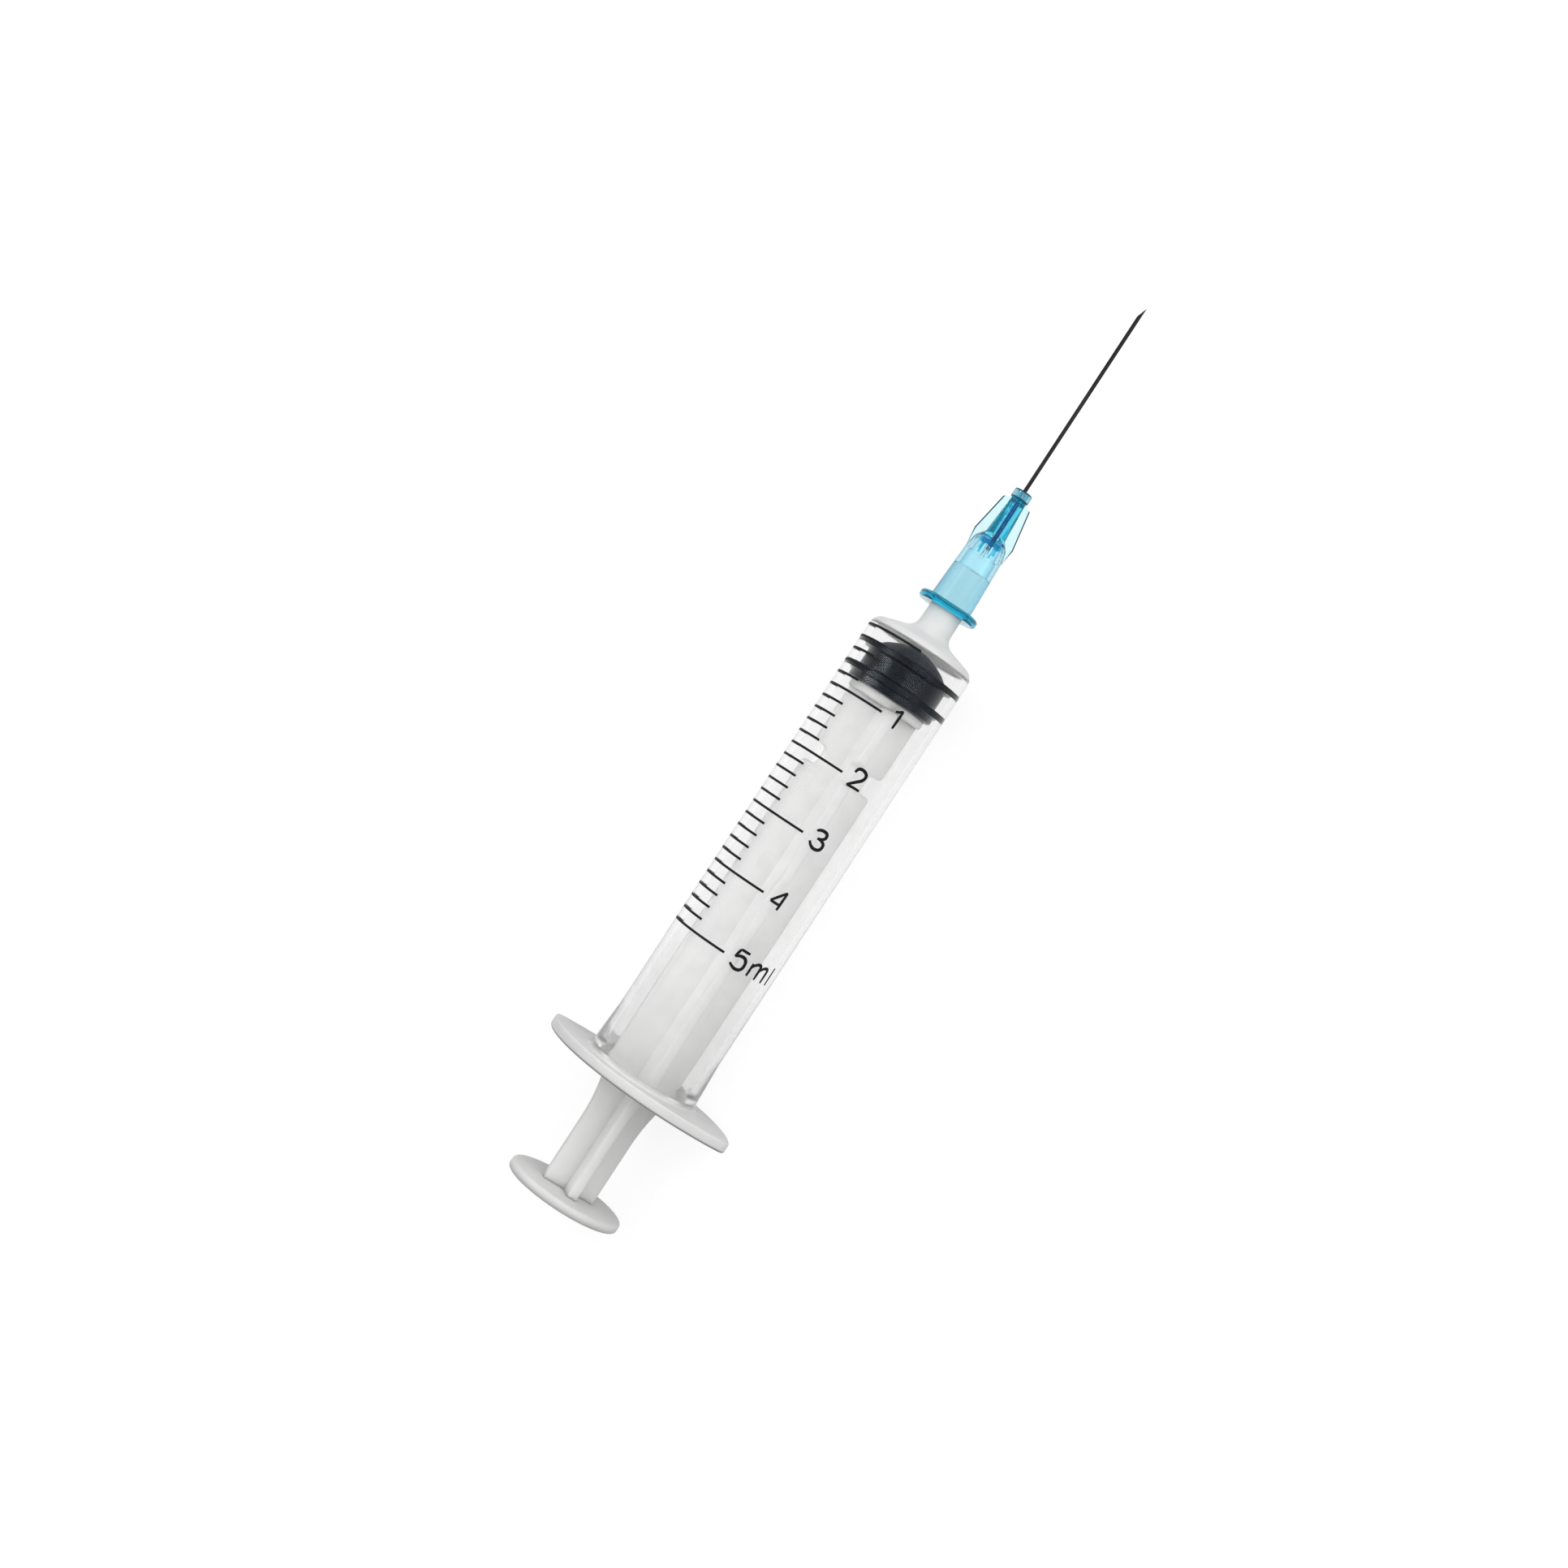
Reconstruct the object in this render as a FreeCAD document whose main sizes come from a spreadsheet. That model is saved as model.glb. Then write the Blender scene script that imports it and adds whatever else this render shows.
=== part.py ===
"""A 5 ml luer slip syringe with its hypodermic needle, lying along X.

The syringe's axis is the X axis, and the needle points along +X. The origin is on
that axis at the front face of the finger flange, the face that the fingers pull
on. The flange's wings lie along Y, so the syringe rests on the flange's lower edge
and on the shoulder of its barrel. All sizes are in millimetres.
"""

import FreeCAD, Part

import os

import Sketcher
from FreeCAD import Vector

SIZES = [
    # Barrel: tube, shoulder and luer tip
    ("bore_diameter", 12.3, "inside of the tube"),
    ("barrel_wall", 0.88, "wall of the tube"),
    ("bore_length", 60.6, "flange face to the end of the straight bore, the zero line"),
    ("shoulder_lead", 1.25, "end of the bore to the sharp corner of the shoulder"),
    ("shoulder_slope", 0.32, "run of the shoulder along the axis for each mm of radius"),
    ("shoulder_round", 1.4, "round of the front shoulder, made as two facets"),
    ("neck_round", 1.5, "round between the shoulder and the luer tip, one facet"),
    ("tip_length", 10.75, "shoulder corner to the end of the luer tip"),
    ("tip_end_diameter", 3.93, "small end of the male luer cone"),
    ("luer_taper", 0.06, "loss of diameter for each mm of a luer cone"),
    ("tip_chamfer", 0.12, "edge of the luer tip"),
    ("channel_diameter", 2.0, "fluid channel through the luer tip"),
    ("front_wall_depth", 2.4, "end of the bore to the mouth of the channel"),
    # Barrel: finger flange and rear mouth
    ("flange_length", 29.0, "wing tip to wing tip"),
    ("flange_width", 18.0, "across the middle of the flange"),
    ("wing_round", 1.44, "radius round the wing tips"),
    ("flange_thickness", 1.4, "flange, along the axis"),
    ("flange_chamfer", 0.3, "edges of the flange's rim"),
    ("mouth_chamfer", 0.35, "lead-in of the rear mouth"),
    ("bead_height", 0.14, "stop bead that keeps the stopper in"),
    ("bead_length", 1.2, "stop bead, along the axis"),
    ("bead_position", 1.2, "flange face to the middle of the stop bead"),
    # Scale printed on the barrel
    ("scale_volume", 5.0, "ml at the last line"),
    ("divisions_per_ml", 5.0, "short lines for each ml"),
    ("line_width", 0.3, "printed line, along the axis"),
    ("ink_thickness", 0.03, "ink on the tube"),
    ("scale_start_angle", -64.0, "left end of the lines, from the top towards -Y"),
    ("short_line_angle", 55.0, "arc of a short line"),
    ("long_line_angle", 93.0, "arc of a line at each ml"),
    # Stopper
    ("rib_clearance", 0.03, "between a sealing rib and the bore"),
    ("rest_gap", 1.5, "front rib to the end of the bore, as the syringe lies"),
    ("front_rib_length", 0.85, "front sealing rib, along the axis"),
    ("waist_length", 2.3, "between the two ribs"),
    ("rear_rib_length", 0.95, "rear sealing rib, along the axis"),
    ("skirt_length", 0.85, "behind the rear rib"),
    ("waist_diameter", 10.7, "stopper between the ribs"),
    ("skirt_diameter", 11.6, "stopper behind the rear rib"),
    ("dome_base_diameter", 9.8, "foot of the stopper's dome"),
    ("dome_height", 2.05, "dome above the front rib"),
    ("dome_facet_diameter", 5.2, "where the dome turns flatter"),
    ("dome_facet_height", 1.53, "the same, above the front rib"),
    ("dome_end_diameter", 1.6, "flat point of the dome"),
    ("neck_hole_length", 1.5, "narrow part of the stopper's cavity"),
    ("knob_clearance", 0.06, "round the rod's neck and knob in the stopper"),
    # Plunger rod
    ("knob_neck_diameter", 4.6, "neck between the seat disc and the knob"),
    ("knob_diameter", 6.8, "knob that holds the stopper"),
    ("knob_length", 2.2, "length of the knob"),
    ("seat_diameter", 10.8, "disc that pushes the stopper"),
    ("seat_thickness", 1.0, "disc that pushes the stopper"),
    ("seat_gap", 0.1, "between the disc and the stopper"),
    ("rod_length", 71.5, "front of the disc to the back of the thumb press"),
    ("fin_width", 9.7, "across two fins inside the barrel"),
    ("fin_thickness", 1.25, "each of the four fins"),
    ("neck_width", 7.0, "across two fins near the thumb press"),
    ("neck_length", 8.4, "straight narrow part, from the thumb press"),
    ("flare_radius", 23.0, "arc from the narrow part to the full width"),
    ("notch_position", 8.7, "front of the disc to the notch in the fins"),
    ("notch_length", 2.5, "notch in the fins, along the axis"),
    ("notch_width", 6.4, "across two fins at the notch"),
    ("notch_round", 0.6, "radius in and at the notch's corners"),
    ("press_diameter", 15.3, "thumb press"),
    ("press_thickness", 1.25, "thickness of the thumb press"),
    ("press_chamfer", 0.25, "edges of the press's rim"),
    ("fin_angle", 45.0, "fins from the top, as the rod is turned"),
    # Needle hub
    ("luer_clearance", 0.02, "between the tip and the hub's socket, in radius"),
    ("hub_engagement", 5.8, "luer tip inside the hub"),
    ("hub_angle", 30.0, "hub's front fin from the top, as the hub is turned"),
    ("collar_diameter", 7.9, "collar across its lugs"),
    ("collar_width", 6.0, "collar across its flats"),
    ("collar_thickness", 1.0, "collar, along the axis"),
    ("collar_chamfer", 0.22, "edges of the collar's rim"),
    ("hub_base_diameter", 5.6, "hub in front of the collar"),
    ("hub_shoulder_diameter", 4.9, "hub at the foot of its dome"),
    ("hub_body_length", 8.4, "mouth to the foot of the dome"),
    ("hub_dome_length", 2.5, "foot of the dome to the core"),
    ("hub_facet_length", 1.4, "foot of the dome to where it turns steeper"),
    ("hub_facet_diameter", 4.34, "dome at that place"),
    ("core_base_diameter", 2.7, "core at the dome"),
    ("core_end_diameter", 2.0, "core at the nose"),
    ("hub_length", 17.2, "mouth to the end of the nose"),
    ("nose_diameter", 2.4, "nose collar"),
    ("nose_length", 1.2, "nose collar"),
    ("socket_length", 7.9, "mouth to the end of the hub's socket"),
    ("socket_step", 0.2, "ledge at the end of the socket"),
    ("cavity_end", 9.9, "mouth to the end of the cavity past the socket"),
    ("cavity_end_diameter", 3.0, "end of the cavity past the socket"),
    ("core_boss_diameter", 2.5, "boss round the cannula's foot"),
    ("core_boss_height", 0.6, "boss round the cannula's foot"),
    ("hub_fin_thickness", 0.55, "each of the hub's four fins"),
    ("hub_fin_start", 8.2, "mouth to the rear end of the fins"),
    ("hub_fin_crest", 10.5, "mouth to the widest place of the fins"),
    ("hub_fin_crest_width", 5.5, "across two fins at their widest"),
    ("hub_fin_end", 15.5, "mouth to the front end of the fins' long edge"),
    ("hub_fin_end_width", 3.8, "across two fins at the front end of that edge"),
    ("well_diameter", 1.6, "glue well in the nose"),
    ("well_depth", 1.5, "glue well in the nose"),
    # Cannula and its adhesive
    ("cannula_diameter", 0.5, "outside of the steel tube"),
    ("cannula_bore", 0.26, "inside of the steel tube"),
    ("cannula_reach", 26.6, "hub's nose to the needle's point"),
    ("cannula_clearance", 0.02, "between the cannula and the hub, in radius"),
    ("bevel_length", 1.5, "ground bevel of the point"),
    ("adhesive_recess", 0.1, "adhesive below the well's rim"),
]

STATIONS = [
    # Barrel
    ("bore_radius", "sizes.bore_diameter / 2"),
    ("barrel_radius", "bore_radius + sizes.barrel_wall"),
    ("mouth_x", "-sizes.flange_thickness"),
    ("shoulder_x", "sizes.bore_length + sizes.shoulder_lead"),
    ("tip_x", "shoulder_x + sizes.tip_length"),
    ("tip_end_radius", "sizes.tip_end_diameter / 2"),
    ("half_taper", "sizes.luer_taper / 2"),
    ("neck_rise", "tip_end_radius + half_taper * sizes.tip_length"),
    ("neck_radius", "(neck_rise - half_taper * sizes.shoulder_slope * barrel_radius)"
                    " / (1 - half_taper * sizes.shoulder_slope)"),
    ("neck_x", "shoulder_x + sizes.shoulder_slope * (barrel_radius - neck_radius)"),
    ("slope_norm", "sqrt(1 + sizes.shoulder_slope ^ 2)"),
    ("taper_norm", "sqrt(1 + half_taper ^ 2)"),
    ("shoulder_run", "sizes.shoulder_round * (slope_norm - sizes.shoulder_slope)"),
    ("shoulder_from_x", "shoulder_x - shoulder_run"),
    ("shoulder_mid_x", "shoulder_from_x + sizes.shoulder_round"
                       " * sqrt((1 - sizes.shoulder_slope / slope_norm) / 2)"),
    ("shoulder_mid_radius", "barrel_radius - sizes.shoulder_round"
                            " * (1 - sqrt((1 + sizes.shoulder_slope / slope_norm) / 2))"),
    ("shoulder_to_x", "shoulder_x + shoulder_run * sizes.shoulder_slope / slope_norm"),
    ("shoulder_to_radius", "barrel_radius - shoulder_run / slope_norm"),
    ("neck_cosine", "(sizes.shoulder_slope + half_taper) / (slope_norm * taper_norm)"),
    ("neck_run", "sizes.neck_round * sqrt((1 - neck_cosine) / (1 + neck_cosine))"),
    ("neck_from_x", "neck_x - neck_run * sizes.shoulder_slope / slope_norm"),
    ("neck_from_radius", "neck_radius + neck_run / slope_norm"),
    ("neck_to_x", "neck_x + neck_run / taper_norm"),
    ("neck_to_radius", "neck_radius - neck_run * half_taper / taper_norm"),
    ("tip_chamfer_x", "tip_x - sizes.tip_chamfer"),
    ("tip_chamfer_radius", "tip_end_radius + half_taper * sizes.tip_chamfer"),
    ("tip_face_radius", "tip_end_radius - sizes.tip_chamfer"),
    ("channel_radius", "sizes.channel_diameter / 2"),
    ("channel_x", "sizes.bore_length + sizes.front_wall_depth"),
    ("mouth_radius", "bore_radius + sizes.mouth_chamfer"),
    ("mouth_chamfer_x", "mouth_x + sizes.mouth_chamfer"),
    ("bead_front_x", "sizes.bead_position + sizes.bead_length / 2"),
    ("bead_rear_x", "sizes.bead_position - sizes.bead_length / 2"),
    ("bead_radius", "bore_radius - sizes.bead_height"),
    # Flange
    ("wing_reach", "sizes.flange_length / 2"),
    ("flange_half_width", "sizes.flange_width / 2"),
    ("wing_centre", "wing_reach - sizes.wing_round"),
    ("flange_arc", "(wing_centre ^ 2 + flange_half_width ^ 2 - sizes.wing_round ^ 2)"
                   " / (2 * (flange_half_width - sizes.wing_round))"),
    ("wing_share", "flange_arc / (flange_arc - sizes.wing_round)"),
    ("wing_join_y", "wing_centre * wing_share"),
    ("wing_join_z", "(flange_arc - flange_half_width) * (wing_share - 1)"),
    # Scale
    ("ml_pitch", "1000 / (pi / 4 * sizes.bore_diameter ^ 2)"),
    ("scale_length", "ml_pitch * sizes.scale_volume"),
    ("long_line_count", "sizes.scale_volume + 1"),
    ("short_line_count", "sizes.scale_volume * sizes.divisions_per_ml + 1"),
    ("ink_radius", "barrel_radius + sizes.ink_thickness"),
    ("line_front_x", "sizes.bore_length + sizes.line_width / 2"),
    ("line_rear_x", "sizes.bore_length - sizes.line_width / 2"),
    # Stopper, from its rear face
    ("rib_radius", "bore_radius - sizes.rib_clearance"),
    ("waist_radius", "sizes.waist_diameter / 2"),
    ("skirt_radius", "sizes.skirt_diameter / 2"),
    ("rear_rib_end", "sizes.skirt_length + sizes.rear_rib_length"),
    ("front_rib_start", "rear_rib_end + sizes.waist_length"),
    ("front_rib_end", "front_rib_start + sizes.front_rib_length"),
    ("dome_radius", "sizes.dome_base_diameter / 2"),
    ("dome_facet_x", "front_rib_end + sizes.dome_facet_height"),
    ("dome_facet_radius", "sizes.dome_facet_diameter / 2"),
    ("dome_top", "front_rib_end + sizes.dome_height"),
    ("dome_end_radius", "sizes.dome_end_diameter / 2"),
    ("stopper_x", "sizes.bore_length - sizes.rest_gap - front_rib_end"),
    # Rod's knob, from the front face of the seat disc
    ("knob_neck_radius", "sizes.knob_neck_diameter / 2"),
    ("knob_radius", "sizes.knob_diameter / 2"),
    ("knob_start", "sizes.seat_gap + sizes.neck_hole_length + sizes.knob_clearance"),
    ("knob_end", "knob_start + sizes.knob_length"),
    # Stopper's cavity, from its rear face
    ("hole_radius", "knob_neck_radius + sizes.knob_clearance"),
    ("cavity_radius", "knob_radius + sizes.knob_clearance"),
    ("cavity_end", "knob_end - sizes.seat_gap + sizes.knob_clearance"),
    # Rod, from the front face of the seat disc
    ("rod_x", "stopper_x - sizes.seat_gap"),
    ("seat_radius", "sizes.seat_diameter / 2"),
    ("fin_root", "-sizes.seat_thickness / 2"),
    ("fin_radius", "sizes.fin_width / 2"),
    ("rod_neck_radius", "sizes.neck_width / 2"),
    ("notch_radius", "sizes.notch_width / 2"),
    ("notch_front", "-sizes.notch_position"),
    ("notch_rear", "notch_front - sizes.notch_length"),
    ("press_back", "-sizes.rod_length"),
    ("press_rim", "press_back + sizes.press_thickness"),
    ("press_radius", "sizes.press_diameter / 2"),
    ("press_face_radius", "press_radius - sizes.press_chamfer"),
    ("press_back_edge", "press_back + sizes.press_chamfer"),
    ("press_rim_edge", "press_rim - sizes.press_chamfer"),
    ("fin_tail", "press_rim - sizes.press_thickness / 2"),
    ("flare_start", "press_rim + sizes.neck_length"),
    ("flare_rise", "fin_radius - rod_neck_radius"),
    ("flare_end", "flare_start + sqrt(flare_rise * (2 * sizes.flare_radius - flare_rise))"),
    # Needle hub, from its mouth
    ("hub_x", "tip_x - sizes.hub_engagement"),
    ("socket_mouth_radius", "tip_end_radius + half_taper * sizes.hub_engagement"
                            " + sizes.luer_clearance"),
    ("socket_end_radius", "socket_mouth_radius - half_taper * sizes.socket_length"),
    ("ledge_radius", "socket_end_radius - sizes.socket_step"),
    ("cavity_roof_radius", "sizes.cavity_end_diameter / 2"),
    ("boss_radius", "sizes.core_boss_diameter / 2"),
    ("boss_x", "sizes.cavity_end - sizes.core_boss_height"),
    ("collar_radius", "sizes.collar_diameter / 2"),
    ("collar_half_width", "sizes.collar_width / 2"),
    ("collar_flat", "sqrt(collar_radius ^ 2 - collar_half_width ^ 2)"),
    ("hub_base_radius", "sizes.hub_base_diameter / 2"),
    ("hub_shoulder_radius", "sizes.hub_shoulder_diameter / 2"),
    ("hub_facet_x", "sizes.hub_body_length + sizes.hub_facet_length"),
    ("hub_facet_radius", "sizes.hub_facet_diameter / 2"),
    ("core_x", "sizes.hub_body_length + sizes.hub_dome_length"),
    ("core_base_radius", "sizes.core_base_diameter / 2"),
    ("core_end_radius", "sizes.core_end_diameter / 2"),
    ("nose_x", "sizes.hub_length - sizes.nose_length"),
    ("nose_radius", "sizes.nose_diameter / 2"),
    ("hub_fin_start_radius", "hub_shoulder_radius - sizes.luer_clearance"),
    ("hub_fin_crest_radius", "sizes.hub_fin_crest_width / 2"),
    ("hub_fin_end_radius", "sizes.hub_fin_end_width / 2"),
    ("well_radius", "sizes.well_diameter / 2"),
    ("well_x", "sizes.hub_length - sizes.well_depth"),
    # Cannula, from its foot
    ("cannula_radius", "sizes.cannula_diameter / 2"),
    ("cannula_bore_radius", "sizes.cannula_bore / 2"),
    ("cannula_hole_radius", "cannula_radius + sizes.cannula_clearance"),
    ("cannula_x", "hub_x + boss_x"),
    ("cannula_length", "sizes.hub_length - boss_x + sizes.cannula_reach"),
    ("bevel_start", "cannula_length - 2 * sizes.bevel_length"),
    ("bevel_finish", "cannula_length + sizes.bevel_length"),
    ("bevel_reach", "3 * cannula_radius"),
    ("adhesive_end", "sizes.hub_length - sizes.adhesive_recess"),
]


def fill_sheet(sheet, rows):
    """Writes rows of alias, content and note into a sheet."""
    for index, (alias, content, note) in enumerate(rows, start=1):
        sheet.set(f"A{index}", alias)
        sheet.set(f"B{index}", content)
        sheet.setAlias(f"B{index}", alias)
        sheet.set(f"C{index}", note)


document = FreeCAD.newDocument("luer_slip_syringe")
sizes = document.addObject("Spreadsheet::Sheet", "sizes")
fill_sheet(sizes, [(alias, str(value), note) for alias, value, note in SIZES])
stations = document.addObject("Spreadsheet::Sheet", "stations")
fill_sheet(stations, [(alias, f"={formula}", "") for alias, formula in STATIONS])
document.recompute()

AXIS = None
# Edges and points less than this apart, in mm, are taken to touch
TOUCHING = 1e-4
TURN_AXIS = Vector(1, 0, 0)


def value(name):
    """The number that a name such as sizes.bore_length, or its negative, stands for."""
    if name is AXIS:
        return 0.0
    sheet, alias = name.lstrip("-").split(".")
    number = float(document.getObject(sheet).get(alias))
    return -number if name.startswith("-") else number


def new_body(label):
    """An empty body, which takes its label and its file's name from label."""
    body = document.addObject("PartDesign::Body", label)
    body.Label = label
    return body


def place(body, along=None, turn=None):
    """Sets a body along the syringe's axis, and turned about it."""
    if turn:
        body.Placement = FreeCAD.Placement(Vector(), FreeCAD.Rotation(TURN_AXIS, value(turn)))
        body.setExpression(".Placement.Rotation.Angle", turn)
    if along:
        body.setExpression(".Placement.Base.x", along)


def origin_plane(body, role):
    """One of the body's own three planes."""
    return next(part for part in body.Origin.OriginFeatures if part.Role == role)


def arc_between(here, there, radius, right):
    """The shorter arc from one point to another, bulging right or left of the way."""
    way = there - here
    sagitta = radius - (radius ** 2 - (way.Length / 2) ** 2) ** 0.5
    aside = Vector(way.y, -way.x, 0).normalize() * (sagitta if right else -sagitta)
    return Part.Arc(here, (here + there) / 2 + aside, there)


def outline(body, label, plane, corners):
    """A closed outline in a sketch on one of the body's own planes.

    Each corner names its two coordinates, AXIS where it lies on an axis. A third name
    is the radius of the arc to the next corner: the arc bulges to the right of the way
    there, or to the left where the name has a minus sign.
    """
    sketch = body.newObject("Sketcher::SketchObject", label)
    sketch.AttachmentSupport = [(origin_plane(body, plane), "")]
    sketch.MapMode = "FlatFace"
    places = [Vector(value(corner[0]), value(corner[1]), 0) for corner in corners]
    ends = []
    for index, corner in enumerate(corners):
        here = places[index]
        there = places[(index + 1) % len(corners)]
        if len(corner) == 2:
            sketch.addGeometry(Part.LineSegment(here, there), False)
        else:
            radius = corner[2]
            sketch.addGeometry(arc_between(here, there, abs(value(radius)), radius[0] != "-"), False)
        forward = sketch.getPoint(index, 1).distanceToPoint(here) < TOUCHING
        ends.append((1, 2) if forward else (2, 1))
    bind_outline(sketch, corners, ends)
    return sketch


def bind_outline(sketch, corners, ends):
    """Joins the outline's edges and ties its corners and arcs to their named values."""
    for index, corner in enumerate(corners):
        start = ends[index][0]
        before = index - 1 if index else len(corners) - 1
        sketch.addConstraint(
            Sketcher.Constraint("Coincident", before, ends[before][1], index, start))
        for kind, axis, name in (("DistanceX", -2, corner[0]), ("DistanceY", -1, corner[1])):
            if name is AXIS:
                sketch.addConstraint(Sketcher.Constraint("PointOnObject", index, start, axis))
                continue
            made = sketch.addConstraint(
                Sketcher.Constraint(kind, -1, 1, index, start, value(name)))
            bind_constraint(sketch, made, f"corner_{index}_{kind[-1]}", name)
        if len(corner) == 3:
            radius = corner[2].lstrip("-")
            made = sketch.addConstraint(Sketcher.Constraint("Radius", index, value(radius)))
            bind_constraint(sketch, made, f"arc_{index}", radius)


def bind_constraint(sketch, number, label, name):
    """Names a constraint and ties its value to a sheet."""
    sketch.renameConstraint(number, label)
    sketch.setExpression(f"Constraints.{label}", name)


def turn_profile(body, kind, label, sketch, angle=None):
    """Turns a sketch about the syringe's axis, to add or to cut."""
    feature = body.newObject(f"PartDesign::{kind}", label)
    feature.Profile = sketch
    feature.ReferenceAxis = (sketch, ["H_Axis"])
    if angle:
        feature.setExpression("Angle", angle)
    document.recompute()
    return feature


def pad(body, label, sketch, length, middle=False, back=False):
    """Pads a sketch by a named length."""
    feature = body.newObject("PartDesign::Pad", label)
    feature.Profile = sketch
    feature.Midplane = middle
    feature.Reversed = back
    feature.setExpression("Length", length)
    document.recompute()
    return feature


def four_fins(body, label, fin):
    """Repeats a fin four times round the syringe's axis."""
    pattern = body.newObject("PartDesign::PolarPattern", label)
    pattern.Originals = [fin]
    pattern.Axis = (fin.Profile[0], ["H_Axis"])
    pattern.Angle = 360
    pattern.Occurrences = 4
    body.Tip = pattern
    document.recompute()
    return pattern


def break_edges(body, label, kind, base, edges, size):
    """Rounds or chamfers a feature's edges, given by their numbers, by a named size."""
    if not edges:
        raise ValueError(f"{label} finds no edges")
    feature = body.newObject(f"PartDesign::{kind}", label)
    feature.Base = (base, [f"Edge{number}" for number in edges])
    feature.setExpression("Radius" if kind == "Fillet" else "Size", size)
    document.recompute()
    return feature


def rim(feature, stations_along, beyond):
    """The numbers of the edges that lie wholly in one of some planes, outside a radius."""
    limit = value(beyond) + TOUCHING
    found = []
    for number, edge in enumerate(feature.Shape.Edges, start=1):
        if edge.Degenerated:
            continue
        spots = edge.discretize(5)
        flat = any(all(abs(spot.x - value(x)) < TOUCHING for spot in spots) for x in stations_along)
        if flat and all(spot.y ** 2 + spot.z ** 2 > limit ** 2 for spot in spots):
            found.append(number)
    return found


def make_barrel():
    """The tube with its shoulder, luer tip and finger flange, moulded as one."""
    body = new_body("barrel")
    profile = outline(body, "barrel_outside", "XZ_Plane", [
        ("stations.mouth_x", AXIS),
        ("stations.mouth_x", "stations.barrel_radius"),
        ("stations.shoulder_from_x", "stations.barrel_radius"),
        ("stations.shoulder_mid_x", "stations.shoulder_mid_radius"),
        ("stations.shoulder_to_x", "stations.shoulder_to_radius"),
        ("stations.neck_from_x", "stations.neck_from_radius"),
        ("stations.neck_to_x", "stations.neck_to_radius"),
        ("stations.tip_chamfer_x", "stations.tip_chamfer_radius"),
        ("stations.tip_x", "stations.tip_face_radius"),
        ("stations.tip_x", AXIS),
    ])
    turn_profile(body, "Revolution", "barrel_tube", profile)
    wings = outline(body, "flange_outline", "YZ_Plane", [
        ("stations.wing_join_y", "-stations.wing_join_z", "sizes.wing_round"),
        ("stations.wing_join_y", "stations.wing_join_z", "stations.flange_arc"),
        ("-stations.wing_join_y", "stations.wing_join_z", "sizes.wing_round"),
        ("-stations.wing_join_y", "-stations.wing_join_z", "stations.flange_arc"),
    ])
    flange = pad(body, "flange", wings, "sizes.flange_thickness", back=True)
    edges = rim(flange, (AXIS, "stations.mouth_x"), "stations.barrel_radius")
    break_edges(body, "flange_rim", "Chamfer", flange, edges, "sizes.flange_chamfer")
    bore = outline(body, "barrel_inside", "XZ_Plane", [
        ("stations.mouth_x", AXIS),
        ("stations.mouth_x", "stations.mouth_radius"),
        ("stations.mouth_chamfer_x", "stations.bore_radius"),
        ("stations.bead_rear_x", "stations.bore_radius"),
        ("sizes.bead_position", "stations.bead_radius"),
        ("stations.bead_front_x", "stations.bore_radius"),
        ("sizes.bore_length", "stations.bore_radius"),
        ("stations.channel_x", "stations.channel_radius"),
        ("stations.tip_x", "stations.channel_radius"),
        ("stations.tip_x", AXIS),
    ])
    turn_profile(body, "Groove", "barrel_bore", bore)
    return body


def make_graduation_marks():
    """The printed lines: a short one at each division and a long one at each ml."""
    body = new_body("graduation_marks")
    body.AllowCompound = True
    lines = []
    for kind, angle in (("short", "sizes.short_line_angle"), ("long", "sizes.long_line_angle")):
        section = outline(body, f"{kind}_line_section", "XZ_Plane", [
            ("stations.line_rear_x", "stations.barrel_radius"),
            ("stations.line_rear_x", "stations.ink_radius"),
            ("stations.line_front_x", "stations.ink_radius"),
            ("stations.line_front_x", "stations.barrel_radius"),
        ])
        line = turn_profile(body, "Revolution", f"{kind}_line", section, angle)
        row = body.newObject("PartDesign::LinearPattern", f"{kind}_lines")
        row.Originals = [line]
        row.Direction = (section, ["H_Axis"])
        row.Reversed = True
        row.setExpression("Length", "stations.scale_length")
        row.setExpression("Occurrences", f"stations.{kind}_line_count")
        body.Tip = row
        document.recompute()
        lines.append(row)
    place(body, turn="sizes.scale_start_angle")
    return body


def make_stopper():
    """The rubber stopper: dome, two sealing ribs, skirt and the cavity for the knob."""
    body = new_body("stopper")
    profile = outline(body, "stopper_outside", "XZ_Plane", [
        (AXIS, AXIS),
        (AXIS, "stations.skirt_radius"),
        ("sizes.skirt_length", "stations.skirt_radius"),
        ("sizes.skirt_length", "stations.rib_radius"),
        ("stations.rear_rib_end", "stations.rib_radius"),
        ("stations.rear_rib_end", "stations.waist_radius"),
        ("stations.front_rib_start", "stations.waist_radius"),
        ("stations.front_rib_start", "stations.rib_radius"),
        ("stations.front_rib_end", "stations.rib_radius"),
        ("stations.front_rib_end", "stations.dome_radius"),
        ("stations.dome_facet_x", "stations.dome_facet_radius"),
        ("stations.dome_top", "stations.dome_end_radius"),
        ("stations.dome_top", AXIS),
    ])
    turn_profile(body, "Revolution", "stopper_rubber", profile)
    cavity = outline(body, "stopper_inside", "XZ_Plane", [
        (AXIS, AXIS),
        (AXIS, "stations.hole_radius"),
        ("sizes.neck_hole_length", "stations.hole_radius"),
        ("sizes.neck_hole_length", "stations.cavity_radius"),
        ("stations.cavity_end", "stations.cavity_radius"),
        ("stations.cavity_end", AXIS),
    ])
    turn_profile(body, "Groove", "stopper_cavity", cavity)
    place(body, along="stations.stopper_x")
    return body


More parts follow.
